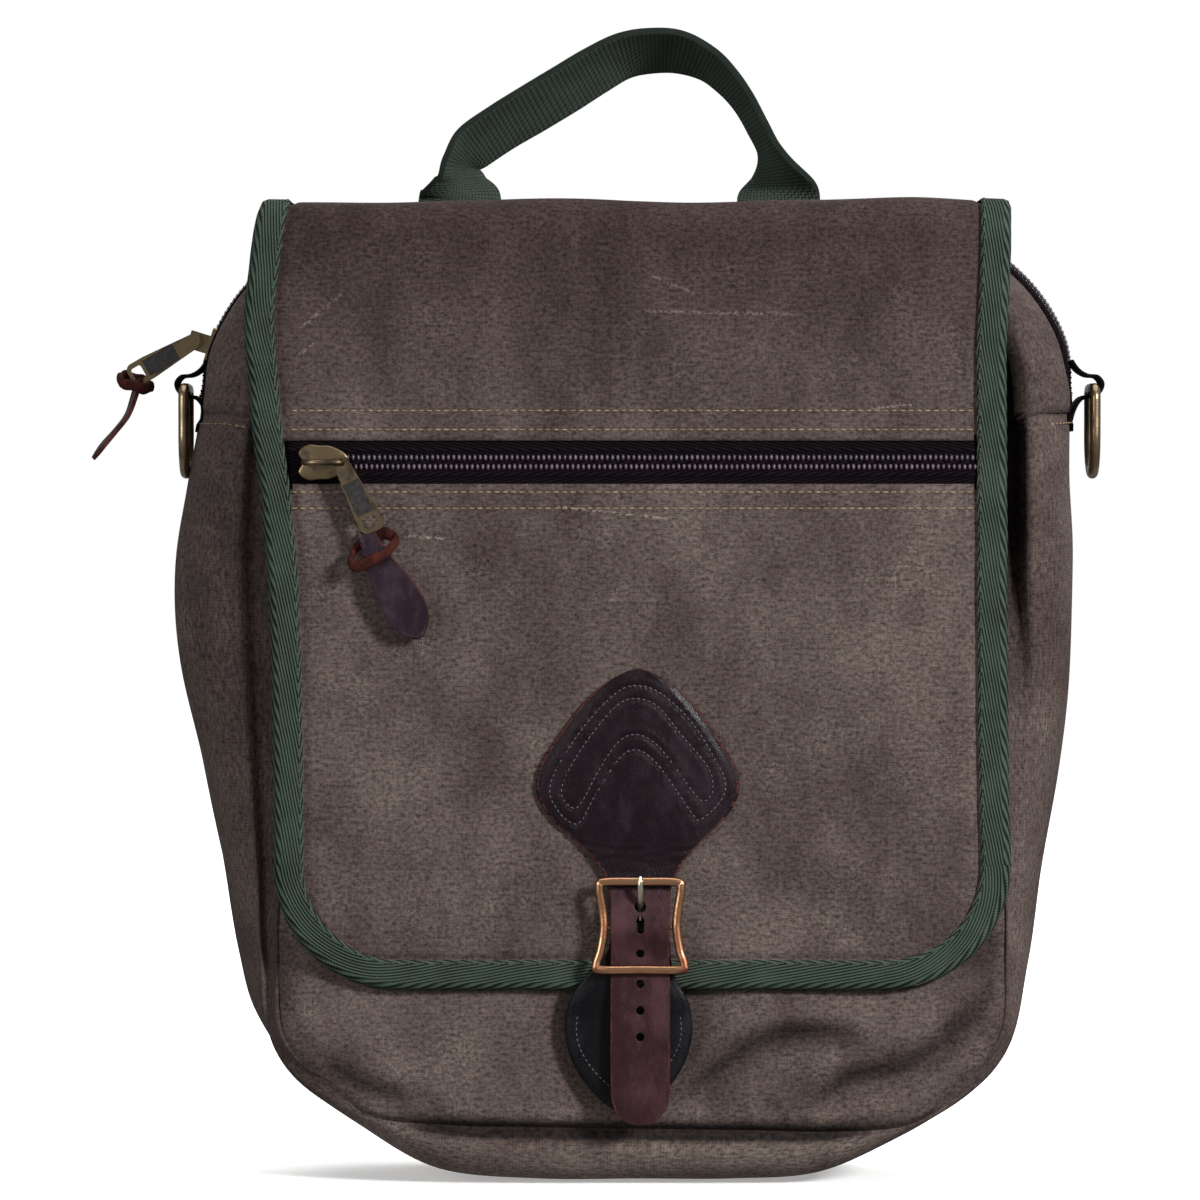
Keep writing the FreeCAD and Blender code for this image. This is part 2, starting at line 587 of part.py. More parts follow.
web, thin = size("web_width"), size("web_thick")
axis = size("handle_axis_z")
ends = [Part.makeBox(web, thin, 51.6, Vector(x - web / 2, size("handle_y") - thin / 2, axis - 52.5))
        for x in (-size("handle_left"), size("handle_right"))]
feature("handle_ends", Part.makeCompound(ends))

# centre line of the handle (x, z), and how far its width has turned towards Y, in degrees
route = [(-size("handle_left"), axis + 1, 0), (-68, 383, 8), (-62, 394, 24), (-46, 406, 44),
         (-24, 417, 58), (4, size("handle_peak"), 62), (26, 420, 58), (41, 407, 46),
         (48, 394, 24), (52, 383, 8), (size("handle_right"), axis + 1, 0)]


def handle_section(i):
    x, z, turn = route[i]
    before, after = route[max(i - 1, 0)], route[min(i + 1, len(route) - 1)]
    run = Vector(after[0] - before[0], 0, after[1] - before[1]).normalize()
    if i in (0, len(route) - 1):
        run = Vector(0, 0, 1 if i == 0 else -1)
    across = Vector(run.z, 0, -run.x)
    angle = math.radians(turn)
    wide = (across * math.cos(angle) + Vector(0, math.sin(angle), 0)) * (web / 2)
    deep = run.cross(wide).normalize() * (thin / 2)
    middle = Vector(x, size("handle_y"), z)
    corners = [middle + wide + deep, middle - wide + deep, middle - wide - deep,
               middle + wide - deep]
    return Part.makePolygon(corners + corners[:1])


strip = Part.makeLoft([handle_section(i) for i in range(len(route))], True, False)
rolls = [Part.makeCylinder(thin / 2, web, Vector(x - web / 2, size("handle_y"), axis + 1),
                           Vector(1, 0, 0)) for x in (-size("handle_left"), size("handle_right"))]
feature("handle", strip.fuse(rolls))

# ---------------------------------------------------------------- checks and export

doc.recompute()
helpers = {"sack_outside", "sack_room", "sack_slit", "pocket_sack_cut0"}
pieces = []
for item in doc.Objects:
    if "Invalid" in item.State or "Error" in item.State:
        raise RuntimeError(f"{item.Name} is in state {item.State}")
    top = item.isDerivedFrom("Part::Feature") and not item.isDerivedFrom("PartDesign::Feature")
    top = top and not item.isDerivedFrom("Part::Part2DObject") and item.Name not in helpers
    if top and item.TypeId != "App::Plane":
        pieces.append(item)

for item in pieces:
    shape = item.Shape
    if shape.isNull() or not shape.isValid() or not shape.Solids:
        raise RuntimeError(f"{item.Label} has no valid solid")
    shape.exportStep(f"parts/{item.Label}.step")
    box = shape.BoundBox
    print(f"{item.Label:20s} {len(shape.Solids)} {shape.Volume:10.1f} "
          f"x {box.XMin:.1f} {box.XMax:.1f} y {box.YMin:.1f} {box.YMax:.1f} "
          f"z {box.ZMin:.1f} {box.ZMax:.1f}")
print(len(pieces), "nodes")
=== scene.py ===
import math

import bmesh
import bpy
from mathutils import Matrix, Vector, noise


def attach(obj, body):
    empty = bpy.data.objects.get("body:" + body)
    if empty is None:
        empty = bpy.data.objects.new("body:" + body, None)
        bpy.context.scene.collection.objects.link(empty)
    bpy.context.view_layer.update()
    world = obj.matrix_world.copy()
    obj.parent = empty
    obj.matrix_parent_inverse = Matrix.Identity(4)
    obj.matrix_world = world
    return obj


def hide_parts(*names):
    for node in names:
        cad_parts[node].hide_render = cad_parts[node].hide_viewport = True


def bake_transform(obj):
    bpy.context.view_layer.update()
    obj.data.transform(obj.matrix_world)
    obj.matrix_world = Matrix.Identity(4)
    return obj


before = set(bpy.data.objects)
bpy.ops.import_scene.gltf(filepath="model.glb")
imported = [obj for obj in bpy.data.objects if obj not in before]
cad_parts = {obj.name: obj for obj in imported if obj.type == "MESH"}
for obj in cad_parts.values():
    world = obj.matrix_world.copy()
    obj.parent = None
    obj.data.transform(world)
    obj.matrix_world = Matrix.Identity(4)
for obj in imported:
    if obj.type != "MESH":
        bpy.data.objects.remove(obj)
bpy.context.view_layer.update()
mm = 0.001


# ---- small helpers ----

def spot(x, y, z):
    return Vector((x, y, z)) * mm


def between(low, high, share):
    return low + (high - low) * share


def ease(low, high, value):      # 0 below low, 1 above high, smooth between
    share = min(max((value - low) / (high - low), 0), 1)
    return share * share * (3 - 2 * share)


def smoothThrough(rows, place, closed=False):
    # a value, or several, read smoothly from evenly numbered rows
    count = len(rows)
    index = math.floor(place)
    share = place - index
    picks = []
    for step in (-1, 0, 1, 2):
        number = index + step
        number = number % count if closed else min(max(number, 0), count - 1)
        picks.append(rows[number])
    answer = []
    for a, b, c, d in zip(*picks):
        answer.append(b + 0.5 * share * (c - a + share * (2 * a - 5 * b + 4 * c - d
                                                          + share * (3 * (b - c) + d - a))))
    return answer


def readTable(rows, key):        # rows of (key, value) with rising keys, smooth between them
    if key <= rows[0][0]:
        return rows[0][1]
    for number in range(len(rows) - 1):
        low, high = rows[number][0], rows[number + 1][0]
        if key <= high:
            return smoothThrough(rows, number + (key - low) / (high - low))[1]
    return rows[-1][1]


def ripple(x, z, size, seed=0.0):        # soft unevenness between about -1 and 1
    return noise.noise(Vector((x / size, z / size, seed)))


# ---- materials ----

class Wire:      # an output socket that can be used in a sum
    def __init__(self, finish, socket):
        self.finish = finish
        self.socket = socket

    def maths(self, operation, first, second=None):
        inputs = [first] if second is None else [first, second]
        return self.finish.node("ShaderNodeMath", {"operation": operation}, inputs)

    def __add__(self, other):
        return self.maths("ADD", self, other)

    def __sub__(self, other):
        return self.maths("SUBTRACT", self, other)

    def __rsub__(self, other):
        return self.maths("SUBTRACT", other, self)

    def __mul__(self, other):
        return self.maths("MULTIPLY", self, other)

    def __gt__(self, other):
        return self.maths("GREATER_THAN", self, other)

    def __abs__(self):
        return self.maths("ABSOLUTE", self)

    def sine(self):
        return self.maths("SINE", self)

    __radd__ = __add__
    __rmul__ = __mul__


class Finish:    # one material and the nodes it is made of
    def __init__(self, name, constants):
        self.material = bpy.data.materials.new(name)
        self.material.use_nodes = True
        self.tree = self.material.node_tree
        self.shader = self.tree.nodes["Principled BSDF"]
        for socket, value in constants.items():
            self.shader.inputs[socket].default_value = value

    def node(self, kind, settings, inputs, output=0):
        made = self.tree.nodes.new(kind)
        for key, value in settings.items():
            setattr(made, key, value)
        pairs = inputs.items() if isinstance(inputs, dict) else enumerate(inputs)
        for key, value in pairs:
            if isinstance(value, Wire):
                self.tree.links.new(value.socket, made.inputs[key])
            else:
                made.inputs[key].default_value = value
        return Wire(self, made.outputs[output])

    def drive(self, socket, wire):
        self.tree.links.new(wire.socket, self.shader.inputs[socket])

    def where(self, kind="UV"):
        return self.node("ShaderNodeTexCoord", {}, [], kind)

    def axes(self, vector):
        parts = [self.node("ShaderNodeSeparateXYZ", {}, [vector], axis) for axis in range(3)]
        return parts

    def stretch(self, vector, scale, turn=0.0):
        return self.node("ShaderNodeMapping", {}, {"Vector": vector, "Scale": scale,
                                                   "Rotation": (0, 0, turn)})

    def cloud(self, vector, size, detail=3.0, rough=0.55):
        return self.node("ShaderNodeTexNoise", {}, {"Vector": vector, "Scale": 1 / (size * mm),
                                                    "Detail": detail, "Roughness": rough})

    def span(self, wire, low, high, start=0.0, end=1.0):
        return self.node("ShaderNodeMapRange", {"interpolation_type": "SMOOTHSTEP"},
                         [wire, low, high, start, end])

    def blendColours(self, share, first, second, kind="MIX"):
        return self.node("ShaderNodeMix", {"data_type": "RGBA", "blend_type": kind},
                         {0: share, 6: first, 7: second}, 2)

    def relief(self, height, depth, strength=1.0):
        self.drive("Normal", self.node("ShaderNodeBump", {}, {
            "Strength": strength, "Distance": depth * mm, "Height": height}))


def colour(red, green, blue):    # from screen values of 0 to 255
    def light(value):
        value /= 255
        return value / 12.92 if value < 0.04045 else ((value + 0.055) / 1.055) ** 2.4
    return light(red), light(green), light(blue), 1.0


def plainWeave(finish, u, v, pitch):
    # threads that pass over and under each other, pitch apart
    turn = math.pi / (pitch * mm)
    across, along = (u * turn).sine(), (v * turn).sine()
    over = (across * along) > 0.0
    return abs(across) * over + abs(along) * (1 - over)


canvasLook = {
    "base": (84, 74, 70), "dark": (55, 45, 43), "pale": (124, 114, 104), "pitch": 0.86,
    "foldPaintedShade": (0.5, 0.44, 0.45, 1),       # painted shade: what the flap's fold keeps of its lightness
    "patch": 85, "grain": 1.5,
    # pale rubs on the flap: (x, down, x, down, width)
    "rubs": [(-4, 94, 62, 95, 1.1), (-126, 101, -108, 86, 0.9), (-128, 112, -118, 104, 0.8),
             (-40, 165, 16, 171, 0.8), (-12, 152, 30, 156, 0.7), (22, 88, 2, 80, 1.0),
             (-96, 176, -70, 178, 0.8), (84, 130, 104, 128, 0.7)],
}


def rubMark(finish, u, v, rub):          # a straight rubbed line, 1 on it and 0 off it
    startX, startDown, endX, endDown, width = rub
    runX, runV = (endX - startX) * mm, (startDown - endDown) * mm
    length = math.hypot(runX, runV)
    fromX, fromV = u - startX * mm, v + startDown * mm
    along = fromX * (runX / length ** 2) + fromV * (runV / length ** 2)
    off = abs(fromX * (runV / length) - fromV * (runX / length))
    return ((1 - finish.span(off, 0, width * mm)) * finish.span(along, 0, 0.2)
            * (1 - finish.span(along, 0.8, 1)))


def makeCanvas(name, onFlap):
    look = canvasLook
    finish = Finish(name, {"Roughness": 0.8, "Specular IOR Level": 0.05})
    uv = finish.where()
    u, v, _ = finish.axes(uv)
    weave = plainWeave(finish, u, v, look["pitch"])
    patches = finish.cloud(uv, look["patch"], 4, 0.6)
    streaks = finish.cloud(finish.stretch(uv, (1, 0.5, 1)), 20, 6, 0.65)
    grain = finish.cloud(uv, look["grain"], 3, 0.75)
    threads = finish.cloud(finish.stretch(uv, (0.3, 1, 1)), 1.1, 1, 0.5)
    rubbed = finish.span(patches * 0.55 + streaks * 0.45, 0.32, 0.68)
    body = finish.blendColours(rubbed, colour(*look["dark"]), colour(*look["base"]))
    wax = finish.cloud(uv, 30, 7, 0.72)
    chalky = finish.span(wax, 0.52, 0.85) * finish.span(grain, 0.4, 0.62) * 0.8
    for rub in look["rubs"] if onFlap else ():
        chalky = chalky + rubMark(finish, u, v, rub) * finish.span(grain, 0.42, 0.58) * 0.9
    body = finish.blendColours(chalky * 0.62, body, colour(*look["pale"]))
    if onFlap:       # painted shade: the flap's top and fold darkened as shade
        near = finish.span(v + patches * 0.05, -0.135, -0.03) * (1 - finish.span(v, 0.03, 0.09))
        body = finish.blendColours(near, body, finish.blendColours(1.0, body, look["foldPaintedShade"],
                                                                   "MULTIPLY"))
    else:            # painted light: lighter towards the base, as if lit there
        height = finish.axes(finish.where("Object"))[2]
        under = 1 - finish.span(height, 19 * mm, 36 * mm)
        body = finish.blendColours(under, body, finish.blendColours(1.0, body, (1.95, 2.0, 1.95, 1),
                                                                    "MULTIPLY"))
    # painted shade: where the mesh's crease mask is high the cloth turns near black, as shade in the folds, the
    # hollow behind the flap and the base crease
    paintedCreaseShade = finish.node("ShaderNodeAttribute", {"attribute_name": "crease"}, [], "Fac")
    body = finish.blendColours(paintedCreaseShade, body, (0.012, 0.009, 0.009, 1))
    shade = finish.span(weave * 0.12 + threads * 0.4 + grain * 1.1, 0.5, 1.12, 0.36, 1.6)
    body = finish.blendColours(1.0, body, finish.node("ShaderNodeCombineColor", {},
                                                      [shade, shade, shade]), "MULTIPLY")
    finish.drive("Base Color", body)
    finish.drive("Roughness", finish.span(rubbed, 0, 1, 0.7, 0.92))
    finish.relief(weave * 0.4 + grain * 1.4 + threads * 0.5, 0.15, 0.7)
    return finish.material


def makeTwill(name, base, rib, middle):
    # herringbone tape: slanted ribs that change hands along the middle of each face
    finish = Finish(name, {"Roughness": 0.9, "Specular IOR Level": 0.05})
    uv = finish.where()
    u, v, _ = finish.axes(uv)
    slant = abs(v - middle * mm)         # steep ribs, each a row of small floats
    ribs = ((slant + u * 0.24) * (2 * math.pi / (rib * mm))).sine()
    cross = ((u - slant * 0.5) * (2 * math.pi / (rib * 0.62 * mm))).sine()
    worn = finish.cloud(uv, 16, 4, 0.6)
    height = ribs * 0.5 + cross * 0.16
    tone = finish.span(height + worn * 0.8, -0.2, 0.95)
    dark, lit = [tuple(c * k for c in colour(*base)[:3]) + (1,) for k in (0.16, 1.9)]
    finish.drive("Base Color", finish.blendColours(tone, dark, lit))
    finish.relief(height, 0.26, 0.8)
    return finish.material


def makeWebbing(name, base, pitch):
    finish = Finish(name, {"Roughness": 0.9, "Specular IOR Level": 0.05})
    uv = finish.where()
    u, v, _ = finish.axes(uv)
    weave = plainWeave(finish, u * 0.6, v, pitch)
    worn = finish.cloud(uv, 12, 4, 0.6)
    tone = finish.span(weave * 0.8 + worn * 0.6, 0.2, 1.25)
    dark, lit = [tuple(c * k for c in colour(*base)[:3]) + (1,) for k in (0.35, 1.45)]
    finish.drive("Base Color", finish.blendColours(tone, dark, lit))
    finish.relief(weave, 0.35, 0.8)
    return finish.material


def makeLeather(name, base, pale, edge, gloss):
    # pulled-up oiled hide: fine pores, scuffs, and a lighter worn tone
    finish = Finish(name, {"Specular IOR Level": 0.14})
    here = finish.where("Object")
    pores = finish.node("ShaderNodeTexVoronoi", {"feature": "DISTANCE_TO_EDGE"},
                        {"Vector": here, "Scale": 1 / (1.1 * mm), "Randomness": 1.0})
    grain = finish.cloud(here, 2.2, 4, 0.65)
    scuffs = finish.cloud(finish.stretch(here, (1, 1, 0.45), 0.5), 5, 6, 0.7)
    broad = finish.cloud(here, 24, 3, 0.55)
    worn = finish.span(broad * 0.6 + scuffs * 0.5, 0.46, 0.72)
    body = finish.blendColours(worn, colour(*base), colour(*pale))
    body = finish.blendColours(finish.span(scuffs, 0.62, 0.78) * 0.35, body, colour(*edge))
    finish.drive("Base Color", body)
    finish.drive("Roughness", finish.span(worn + grain * 0.3, 0.1, 1.2, gloss, gloss + 0.3))
    finish.relief(finish.span(pores, 0.0, 0.3) * 0.7 + grain * 0.6 + scuffs * 0.4, 0.09, 0.7)
    return finish.material


def makeSuede(name, base, lit):
    finish = Finish(name, {"Roughness": 0.95, "Specular IOR Level": 0.1})
    here = finish.where("Object")
    nap = finish.cloud(here, 0.9, 5, 0.75)
    broad = finish.cloud(here, 5, 3, 0.6)
    tone = finish.span(nap * 0.5 + broad * 0.5, 0.38, 0.66)
    finish.drive("Base Color", finish.blendColours(tone, colour(*base), colour(*lit)))
    finish.relief(nap, 0.25, 0.9)
    return finish.material


def makeMetal(name, bright, dull, gloss):
    # cast metal: bright where it is handled, browned in the hollows
    finish = Finish(name, {"Metallic": 1.0})
    here = finish.where("Object")
    tarnish = finish.cloud(here, 9, 3, 0.5)
    pits = finish.cloud(here, 0.7, 3, 0.6)
    share = finish.span(tarnish, 0.42, 0.7)
    finish.drive("Base Color", finish.blendColours(share, colour(*bright), colour(*dull)))
    finish.drive("Roughness", finish.span(share + pits * 0.4, 0.0, 1.3, gloss, gloss + 0.3))
    finish.relief(pits + tarnish, 0.05, 0.5)
    return finish.material


def makePlain(name, base, lit, size, gloss, constants, depth=0.05):
    # moulded or spun stuff whose tone and gloss drift a little
    finish = Finish(name, constants)
    here = finish.where("Object")
    drift = finish.cloud(here, size, 4, 0.6)
    finish.drive("Base Color", finish.blendColours(finish.span(drift, 0.35, 0.7),
                                                   colour(*base), colour(*lit)))
    finish.drive("Roughness", finish.span(drift, 0.3, 0.7, gloss, gloss + 0.18))
    finish.relief(drift, depth, 0.6)
    return finish.material


canvas = makeCanvas("waxedCanvas", False)
flapCanvas = makeCanvas("waxedFlapCanvas", True)
twill = makeTwill("greenTwill", (45, 54, 47), 1.5, 1.6)
zipCloth = makeTwill("zipCloth", (11, 6, 10), 1.2, 10.1)
greenWeb = makeWebbing("greenWebbing", (50, 58, 51), 1.35)
blackWeb = makeWebbing("blackWebbing", (20, 20, 21), 1.2)
darkHide = makeLeather("darkHide", (16, 8, 13), (27, 16, 22), (52, 34, 40), 0.34)
tagHide = makeLeather("tagHide", (32, 21, 29), (52, 38, 49), (66, 50, 58), 0.3)
strapHide = makeLeather("strapHide", (38, 20, 23), (60, 36, 40), (100, 72, 72), 0.38)
patchHide = makeLeather("patchHide", (8, 7, 10), (15, 13, 18), (30, 26, 32), 0.36)
rawEdge = makeSuede("rawEdge", (44, 22, 21), (84, 44, 38))
suede = makeSuede("rustSuede", (36, 15, 13), (66, 30, 24))
brass = makeMetal("antiqueBrass", (150, 130, 102), (84, 72, 60), 0.24)
darkBrass = makeMetal("darkBrass", (132, 114, 88), (62, 54, 46), 0.26)
copper = makeMetal("copperBrass", (196, 148, 112), (128, 80, 60), 0.18)
nickel = makeMetal("prongBrass", (206, 198, 176), (140, 126, 104), 0.18)
coilPlastic = makePlain("coilNylon", (54, 44, 52), (88, 76, 84), 3, 0.26, {})
inlay = makePlain("darkInlay", (22, 19, 20), (40, 34, 34), 2, 0.2, {"Coat Weight": 0.6})
thread = makePlain("tanThread", (98, 80, 60), (140, 120, 92), 2, 0.7, {})
greyThread = makePlain("greyThread", (50, 42, 48), (76, 66, 73), 2, 0.5, {})
greenThread = makePlain("greenThread", (34, 44, 36), (58, 70, 58), 2, 0.7, {})
linen = makeWebbing("liningCloth", (74, 66, 56), 0.6)
print("materials made")


# ---- making and placing pieces ----

def finishPiece(name, bm, material, body, nodes=(), extra=(), smooth=True):
    mesh = bpy.data.meshes.new(name)
    bm.to_mesh(mesh)
    bm.free()
    piece = bpy.data.objects.new(name, mesh)
    bpy.context.scene.collection.objects.link(piece)
    for item in (material, *extra):
        mesh.materials.append(item)
    if smooth:
        mesh.shade_smooth()
    if body:
        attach(piece, body)
    if nodes:
        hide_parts(*nodes)
    return piece


def gridMesh(columns, rows, place, flat=None, cut=None):
    # a grid whose corners (0, 0) to (1, 1) are laid where place says; its UVs are in metres:
    # the flat size of the cloth, or where cut says a spot was before it was sewn
    bm = bmesh.new()
    layer = bm.loops.layers.uv.new("UVMap")
    bmesh.ops.create_grid(bm, x_segments=columns, y_segments=rows, size=0.5, calc_uvs=True)
    for face in bm.faces:
        for loop in face.loops:
            if flat:
                loop[layer].uv.x *= flat[0] * mm
                loop[layer].uv.y *= flat[1] * mm
            elif cut:
                loop[layer].uv = cut(*loop[layer].uv) * mm
    for vert in bm.verts:
        vert.co = place(vert.co.x + 0.5, vert.co.y + 0.5)
    for face in bm.faces:
        for loop in face.loops:
            if not flat and not cut:
                loop[layer].uv = (loop.vert.co.x, loop.vert.co.z)
    return bm


def thicken(piece, thickness, offset=-1.0, rim=0, bevel=0.0):
    # gives a sheet its thickness, with the rim in its own material and rounded
    solid = piece.modifiers.new("thickness", "SOLIDIFY")
    solid.thickness = thickness * mm
    solid.offset = offset
    solid.material_offset_rim = rim
    if bevel:
        soft = piece.modifiers.new("rounding", "BEVEL")
        soft.width = bevel * mm
        soft.segments = 2
        soft.limit_method = "ANGLE"
        soft.angle_limit = math.radians(50)
    return piece


def applyAll(piece):             # keeps what the modifiers made as the piece's own mesh
    depsgraph = bpy.context.evaluated_depsgraph_get()
    made = bpy.data.meshes.new_from_object(piece.evaluated_get(depsgraph))
    piece.modifiers.clear()
    old, piece.data = piece.data, made
    bpy.data.meshes.remove(old)
    return piece


def repeatAlong(name, shape, frames, material, body, nodes=()):
    # one small shape copied to each frame: (place, along, outwards)
    bm = bmesh.new()
    source = shape()
    mesh = bpy.data.meshes.new(name + "Unit")
    source.to_mesh(mesh)
    source.free()
    for place, along, outwards in frames:
        along = along.normalized()
        side = outwards.cross(along).normalized()
        up = along.cross(side)
        turn = Matrix((along, side, up)).transposed().to_4x4()
        before = len(bm.verts)
        bm.from_mesh(mesh)
        bm.verts.ensure_lookup_table()
        bmesh.ops.transform(bm, matrix=Matrix.Translation(place) @ turn, verts=bm.verts[before:])
    bpy.data.meshes.remove(mesh)
    return finishPiece(name, bm, material, body, nodes)


def stitchShape(length, width):
    def shape():
        bm = bmesh.new()
        bmesh.ops.create_uvsphere(bm, u_segments=6, v_segments=5, radius=0.5,
                                  matrix=Matrix.Rotation(math.pi / 2, 4, "Y"))
        bmesh.ops.scale(bm, vec=Vector((length, width, width * 0.8)) * mm, verts=bm.verts)
        return bm
    return shape


def walk(points, pitch, closed=False, share=0.0):
    # places pitch apart along a line of points, each with its direction
    points = list(points) + ([points[0]] if closed else [])
    lengths = [(b - a).length for a, b in zip(points, points[1:])]
    total = sum(lengths)
    count = max(int(total / (pitch * mm)), 1)
    found, number, passed = [], 0, 0.0
    for step in range(count):
        goal = total * (step + 0.5 + share) / count
        while number < len(lengths) - 1 and passed + lengths[number] < goal:
            passed += lengths[number]
            number += 1
        run = points[number + 1] - points[number]
        here = points[number] + run * ((goal - passed) / max(lengths[number], 1e-9))
        found.append((here, run))
    return found


def stitchRow(name, points, body, material, outwards, pitch=3.2, size=(2.3, 0.75),
              closed=False):
    frames = []
    for here, run in walk(points, pitch, closed):
        out = outwards(here) if callable(outwards) else outwards
        frames.append((here, run, out))
    return repeatAlong(name, stitchShape(*size), frames, material, body)


# ---- bag body ----

# stations round the bag, from the middle of the base to the right:
# (seam x, seam z, full x, full z)
bodyStations = [
    (0, 24.5, 0, 0.8), (38, 24, 34, 0.8), (74, 23.5, 66, 3.2), (104, 27, 93, 15),
    (126, 38, 118, 30), (138, 56, 138, 52), (139.5, 84, 148, 84), (139, 115, 153, 118), (139, 150, 158, 152),
    (139.5, 190, 162, 191), (140, 230, 162.6, 232), (140, 262, 161, 262), (139.5, 287, 162, 288),
    (137, 311, 160.6, 315), (126, 333, 145.8, 338.8), (104, 347, 122, 353.6), (70, 352, 82, 357),
    (35, 352.5, 40, 357.2),
    (0, 352.5, 0, 357.4), (-35, 352.5, -40, 357.2), (-70, 352, -82, 357), (-104, 347, -122, 353.6),
    (-126, 333, -145.8, 338.8), (-137, 311, -161.4, 314), (-140, 287, -165, 288),
    (-141, 262, -170.5, 262), (-141, 232, -174.5, 232), (-140, 193, -172.5, 194),
    (-140, 155, -164.5, 155), (-140, 118, -157, 118), (-141, 88, -151, 86), (-139, 62, -144, 62),
    (-128, 42, -127, 37), (-102, 30, -103, 20), (-74, 26, -75, 4.6), (-38, 25, -38, 0.8),
]
zipRight, zipLeft, stationCount = 12, 24, len(bodyStations)
bodyLook = {"seamDepth": 50, "tuck": 3.4, "wall": 1.6, "roundness": 2.8, "topRoundness": 2.1,
            "baseRoundness": 6.5}


def hollowAt(x, z):     # how far the front seam falls back behind the flap's edge
    if x > 0:
        return 15 * ease(160, 262, z) * (1 - ease(318, 338, z))
    return 6 * ease(52, 75, z) * (1 - ease(300, 335, z))


def bodyPoint(turn, depth, inset=0.0):
    # the bag's skin: turn counts stations, depth runs from -50 at the front seam to 50
    sx, sz, fx, fz = smoothThrough(bodyStations, turn, True)
    share = min(abs(depth) / bodyLook["seamDepth"], 1.0)
    around = turn % stationCount
    power = between(bodyLook["roundness"], bodyLook["topRoundness"],
                    ease(11, 14, around) * (1 - ease(22, 25, around)))
    power = between(bodyLook["baseRoundness"], power, ease(2.5, 5, min(around, 36 - around)))
    full = 1 - share ** power
    x, z = between(sx, fx, full), between(sz, fz, full)
    slack = (ripple(turn * 9, depth * 0.6, 17, 3.1) * 1.8
             + ripple(turn * 4, depth * 0.3, 20, 8) * 2.4)
    onSide = ease(14, 40, z) * ease(0, 0.25, 1 - share) * (1 - 0.6 * ease(280, 300, z))
    # the cloth is drawn in along the front seam, most where the flap lies over it
    drawn = bodyLook["tuck"] * ease(0.9, 1.0, share)
    if depth < 0:
        if x > 0:
            drawn += 6.5 * ease(0.8, 0.97, share) * ease(165, 232, z) * (1 - ease(318, 345, z))
        else:
            drawn += 3.4 * ease(0.7, 0.97, share) * ease(50, 80, z) * (1 - ease(300, 340, z))
    drawn += 2.5 * ease(0.93, 0.995, share) * (1 - ease(30, 60, z))
    # at the top right the zip stands proud of the cloth beside it
    ledge = ease(8.5, 13, abs(depth)) * (1 - ease(24, 46, abs(depth))) * ease(294, 312, z)
    drawn += 2.6 * ledge * ease(60, 118, x)
    # a pucker where the two gussets are sewn end to end, and a dip beside the zip
    drawn += 1.6 * math.exp(-((z - 286.6) / 1.8) ** 2) * ease(60, 120, abs(x)) * (1 - share ** 6)
    drawn += 1.7 * (1 - ease(7.5, 15, abs(depth))) * ease(286, 300, z)
    pull = slack * onSide - drawn - inset
    middle = Vector((0, 0, 190))
    out = Vector((x, 0, z)) - middle
    out.z *= 0.75
    out.normalize()
    if z < 40:      # the base stays flat on what it stands on
        out = out.lerp(Vector((0, 0, -1)), 1 - z / 40).normalized()
        pull = min(pull, 0)
    # a hollow behind the flap's edge, between the seam and the cloth that swells beside it
    hollow = hollowAt(x, z) * ease(0.875, 0.93, share) if depth < 0 else 0
    return (Vector((x, depth + hollow, z)) + out * pull) * mm


def bodyStrip(name, first, last, near, far, material, nodes, inset=0.0, fine=10, rows=26):
    columns = int((last - first) * fine)
    length = 26.0 * (last - first)

    def depthAt(t):
        if near > -49:
            return between(near, far, t)
        return near + (far - near) * (1 - math.cos(t * math.pi / 2)) ** 0.9   # closer at the front

    def place(s, t):
        return bodyPoint(between(first, last, s), depthAt(t), inset)
    bm = gridMesh(columns, rows, place, (length, far - near))
    bmesh.ops.reverse_faces(bm, faces=bm.faces)
    # painted shade mask: the hollow behind the flap's edge and the crease along the base seam
    creaseShadeMask = bm.verts.layers.float.new("crease")
    for number, vert in enumerate(bm.verts):
        x, z = vert.co.x / mm, vert.co.z / mm
        share = -depthAt(number // (columns + 1) / rows) / bodyLook["seamDepth"]
        low = (1 - ease(30, 44, z)) * (1 - ease(74, 98, abs(x))) * ease(0.922, 0.946, share)
        vert[creaseShadeMask] = min(hollowAt(x, z) / 15 * ease(0.875, 0.925, share) + low, 0.93)
    piece = finishPiece(name, bm, material, "bag", nodes)
    return thicken(piece, bodyLook["wall"])


bodyStrip("bodyGusset", zipLeft, stationCount + zipRight, -50, 50, canvas,
          ["body_gusset"], rows=56)
bodyStrip("zipGussetFront", zipRight, zipLeft, -50, -7.5, canvas,
          ["zip_gusset_front"], rows=16)
bodyStrip("zipGussetRear", zipRight, zipLeft, 7.5, 50, canvas,
          ["zip_gusset_rear"], rows=16)
bodyStrip("mainZipTape", zipRight - 0.3, zipLeft + 0.3, -12, 12, zipCloth,
          ["main_zip_tape"], inset=-0.9, rows=12)


def liningShell():
    bm = bmesh.new()
    bmesh.ops.create_grid(bm, x_segments=144, y_segments=8, size=0.5)
    for vert in bm.verts:
        depth = vert.co.y * 93
        vert.co = bodyPoint((vert.co.x + 0.5) * stationCount, depth, 4.2)
        fall = hollowAt(vert.co.x / mm, vert.co.z / mm) * ease(0.7, 0.93, -depth / 50)
        vert.co += spot(math.copysign(0.6 * fall, -vert.co.x), 0.25 * fall, 0)
        vert.co.z = max(vert.co.z, 3.5 * mm)
    bmesh.ops.remove_doubles(bm, verts=bm.verts, dist=0.05 * mm)
    rims = [edge for edge in bm.edges if edge.is_boundary]
    bmesh.ops.edgeloop_fill(bm, edges=rims)
    bmesh.ops.recalc_face_normals(bm, faces=bm.faces)
    return finishPiece("bagLining", bm, linen, "bag", ["lining"])


liningShell()


